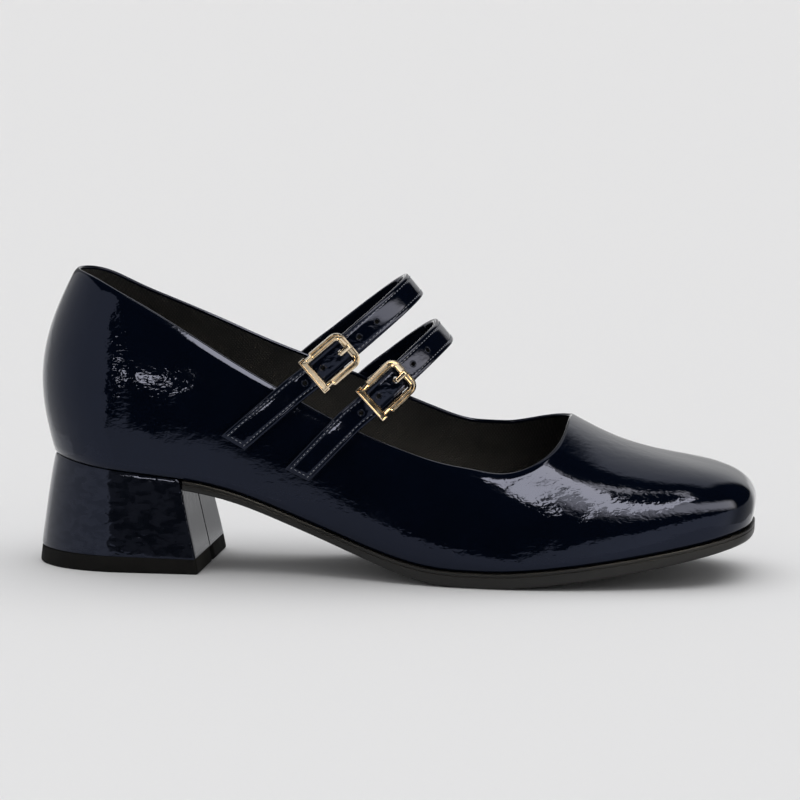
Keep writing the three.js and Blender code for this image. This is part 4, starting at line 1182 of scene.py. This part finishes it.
def makeCamera():
    turn, up = math.radians(stage["turn"]), math.radians(stage["raise"])
    away = Vector((math.sin(turn) * math.cos(up), -math.cos(turn) * math.cos(up), math.sin(up)))
    target = Vector(stage["target"]) * mm
    bpy.ops.object.camera_add(location=target + away * stage["distance"] * mm)
    camera = bpy.context.object
    camera.rotation_euler = away.to_track_quat("Z", "Y").to_euler()
    camera.data.lens = stage["lens"]
    camera.data.sensor_width = 36
    camera.data.clip_end = 200
    bpy.context.scene.camera = camera


# What the gloss mirrors: strips of light overhead, each from one direction (x, y) to another, with its
# half width, soft edge and brightness; a panel at the front right; the pale floor up to a height in
# degrees; pale walls behind and left
strips = (
    {"start": (0.08, -0.88), "end": (0.34, -0.28), "half": 0.062, "edge": 0.014, "power": 12.5},
    {"start": (0.34, -0.3), "end": (0.14, -0.05), "half": 0.04, "edge": 0.03, "power": 6.0},
)
panel = {"azimuth": -33, "wide": 40, "elevation": 31, "drop": 0.31, "high": 12, "edge": 6, "power": 5.5}
mirrored = {
    "floor": 0.66, "floorFront": 0.92, "floorLow": -22.5, "floorHigh": 4, "floorFrom": -112, "floorTo": -62,
    "behind": 0.9, "left": 0.66, "dark": 0.005, "dimRight": 0.65, "warm": (1, 0.9, 0.74, 1),
}


class WorldBoard(Board):
    def __init__(self):
        world = bpy.data.worlds.new("studio")
        world.use_nodes = True
        bpy.context.scene.world = world
        self.tree = world.node_tree
        self.tree.nodes.clear()


def stripLight(board, strip, x, y, z):
    (startX, startY), (endX, endY) = strip["start"], strip["end"]
    long = math.hypot(endX - startX, endY - startY)
    alongX, alongY = (endX - startX) / long, (endY - startY) / long
    along = (x - startX) * alongX + (y - startY) * alongY
    aside = ((x - startX) * alongY - (y - startY) * alongX).math("ABSOLUTE")
    soft = strip["edge"]
    share = board.step(aside, strip["half"] - soft, strip["half"] + soft, 1.0, 0.0)
    share = share * board.step(along, -soft, soft) * board.step(along, long - soft, long + soft, 1.0, 0.0)
    return share * board.step(z, 0.15, 0.2) * strip["power"]


def makeWorld():
    m = mirrored
    board = WorldBoard()
    spot = board.add("ShaderNodeTexCoord", out=0)
    x, y, z = [board.add("ShaderNodeSeparateXYZ", {}, {0: spot}, out=i) for i in range(3)]
    degree = math.pi / 180
    azimuth, elevation = y.math("ARCTAN2", x), z.math("ARCSINE")
    edge = board.step(azimuth, m["floorFrom"] * degree, m["floorTo"] * degree,
                      m["floorLow"] * degree, m["floorHigh"] * degree)
    pale = board.step(azimuth, -100 * degree, -60 * degree, m["floor"], m["floorFront"])
    floor = board.step(elevation - edge, -1.5 * degree, 1.5 * degree, 1.0, 0.0) * pale
    farRight = board.step(x, 0.15, 0.5) * board.step(y, -0.2, 0.3)
    floor = floor * (1 - farRight * m["dimRight"])
    behind = board.step(y, 0.2, 0.34, 0.0, m["behind"]) * board.step(x, 0.27, 0.4, 1.0, 0.0)
    behind = behind * board.step(z, -0.1, 0.5, 0.55, 1.0) * board.step(x, -0.3, -0.15, 0.3, 1.0)
    left = board.step(x, -0.66, -0.6, m["left"], 0.0)
    light = floor.math("MAXIMUM", behind).math("MAXIMUM", left) + m["dark"]
    across = (azimuth - panel["azimuth"] * degree).math("ABSOLUTE")
    sloped = (azimuth - panel["azimuth"] * degree) * panel["drop"]
    upward = (elevation - panel["elevation"] * degree + sloped).math("ABSOLUTE")
    wide, high, soft = [panel[key] * degree for key in ("wide", "high", "edge")]
    glow = board.step(across, wide - soft, wide + soft, 1.0, 0.0)
    glow = glow * board.step(upward, high - soft, high + soft, 1.0, 0.0) * panel["power"]
    for strip in strips:
        glow = glow.math("MAXIMUM", stripLight(board, strip, x, y, z))
    cameraRay, glossyRay = [board.add("ShaderNodeLightPath", out=i) for i in (0, 3)]
    plain = board.add("ShaderNodeBackground", {}, {0: stage["skyTone"], 1: 1.0})
    even = board.add("ShaderNodeBackground", {}, {0: stage["skyTone"], 1: stage["fill"]})
    walls = board.add("ShaderNodeBackground", {}, {0: (1, 1, 1, 1), 1: light})
    lamps = board.add("ShaderNodeBackground", {}, {0: m["warm"], 1: glow})
    gloss = board.add("ShaderNodeAddShader", {}, {0: walls, 1: lamps})
    indoors = board.add("ShaderNodeMixShader", {}, {0: glossyRay, 1: even, 2: gloss})
    seen = board.add("ShaderNodeMixShader", {}, {0: cameraRay, 1: indoors, 2: plain})
    board.add("ShaderNodeOutputWorld", {}, {0: seen})


# Light cards that only the gloss mirrors, and one dim card for painted shade: corners on the ground in
# metres, height from and to, brightness
cards = {
    "leftCard": {"line": ((-0.192, -0.236), (-0.6, -0.3), (-0.8, 0.5)), "low": -0.2, "high": 0.42,
                 "tone": (1, 1, 1, 1), "power": 0.7},
    "counterCard": {"line": ((-0.133, -0.24), (-0.106, -0.24)), "low": 0.072, "high": 0.096,
                    "tone": mirrored["warm"], "power": 13.0},
    # a dim sheet behind the shoe that the heel's breast mirrors instead of the pale wall: painted shade
    # standing in for the shadowed floor under the arch
    "breastShadeCard": {"line": ((-0.09, 0.1), (-0.02, 0.1)), "low": 0.0, "high": 0.075,
                   "tone": (1, 1, 1, 1), "power": 0.5},
}


def makeCard(name, card):
    count = len(card["line"])
    clearSelection()
    bpy.ops.mesh.primitive_grid_add(x_subdivisions=count - 1, y_subdivisions=1, size=1)
    sheet = bpy.context.object
    sheet.name = name
    for i, vert in enumerate(sheet.data.vertices):
        vert.co = (*card["line"][i % count], card["low"] if i < count else card["high"])
    board = Board(name)
    glow = board.step(board.noise(board.place(), 300), 0.0, 1.0, card["power"] * 0.95, card["power"] * 1.05)
    surface = board.add("ShaderNodeEmission", {}, {0: card["tone"], 1: glow})
    board.add("ShaderNodeOutputMaterial", {}, {0: surface})
    sheet.data.materials.append(board.material)
    mirroredOnly(sheet)


def makeSun():
    tiltX, tiltY = [math.radians(angle) for angle in stage["sunTilt"]]
    bpy.ops.object.light_add(type="SUN", rotation=(tiltX, tiltY, 0))
    sun = bpy.context.object
    sun.data.energy = stage["sunPower"]
    sun.data.angle = math.radians(stage["sunAngle"])
    sun.visible_glossy = False


makeFloor()
makeCamera()
makeWorld()
makeSun()
for cardName, cardPlan in cards.items():
    makeCard(cardName, cardPlan)
bpy.context.scene.view_settings.view_transform = "Standard"
print("stage set")
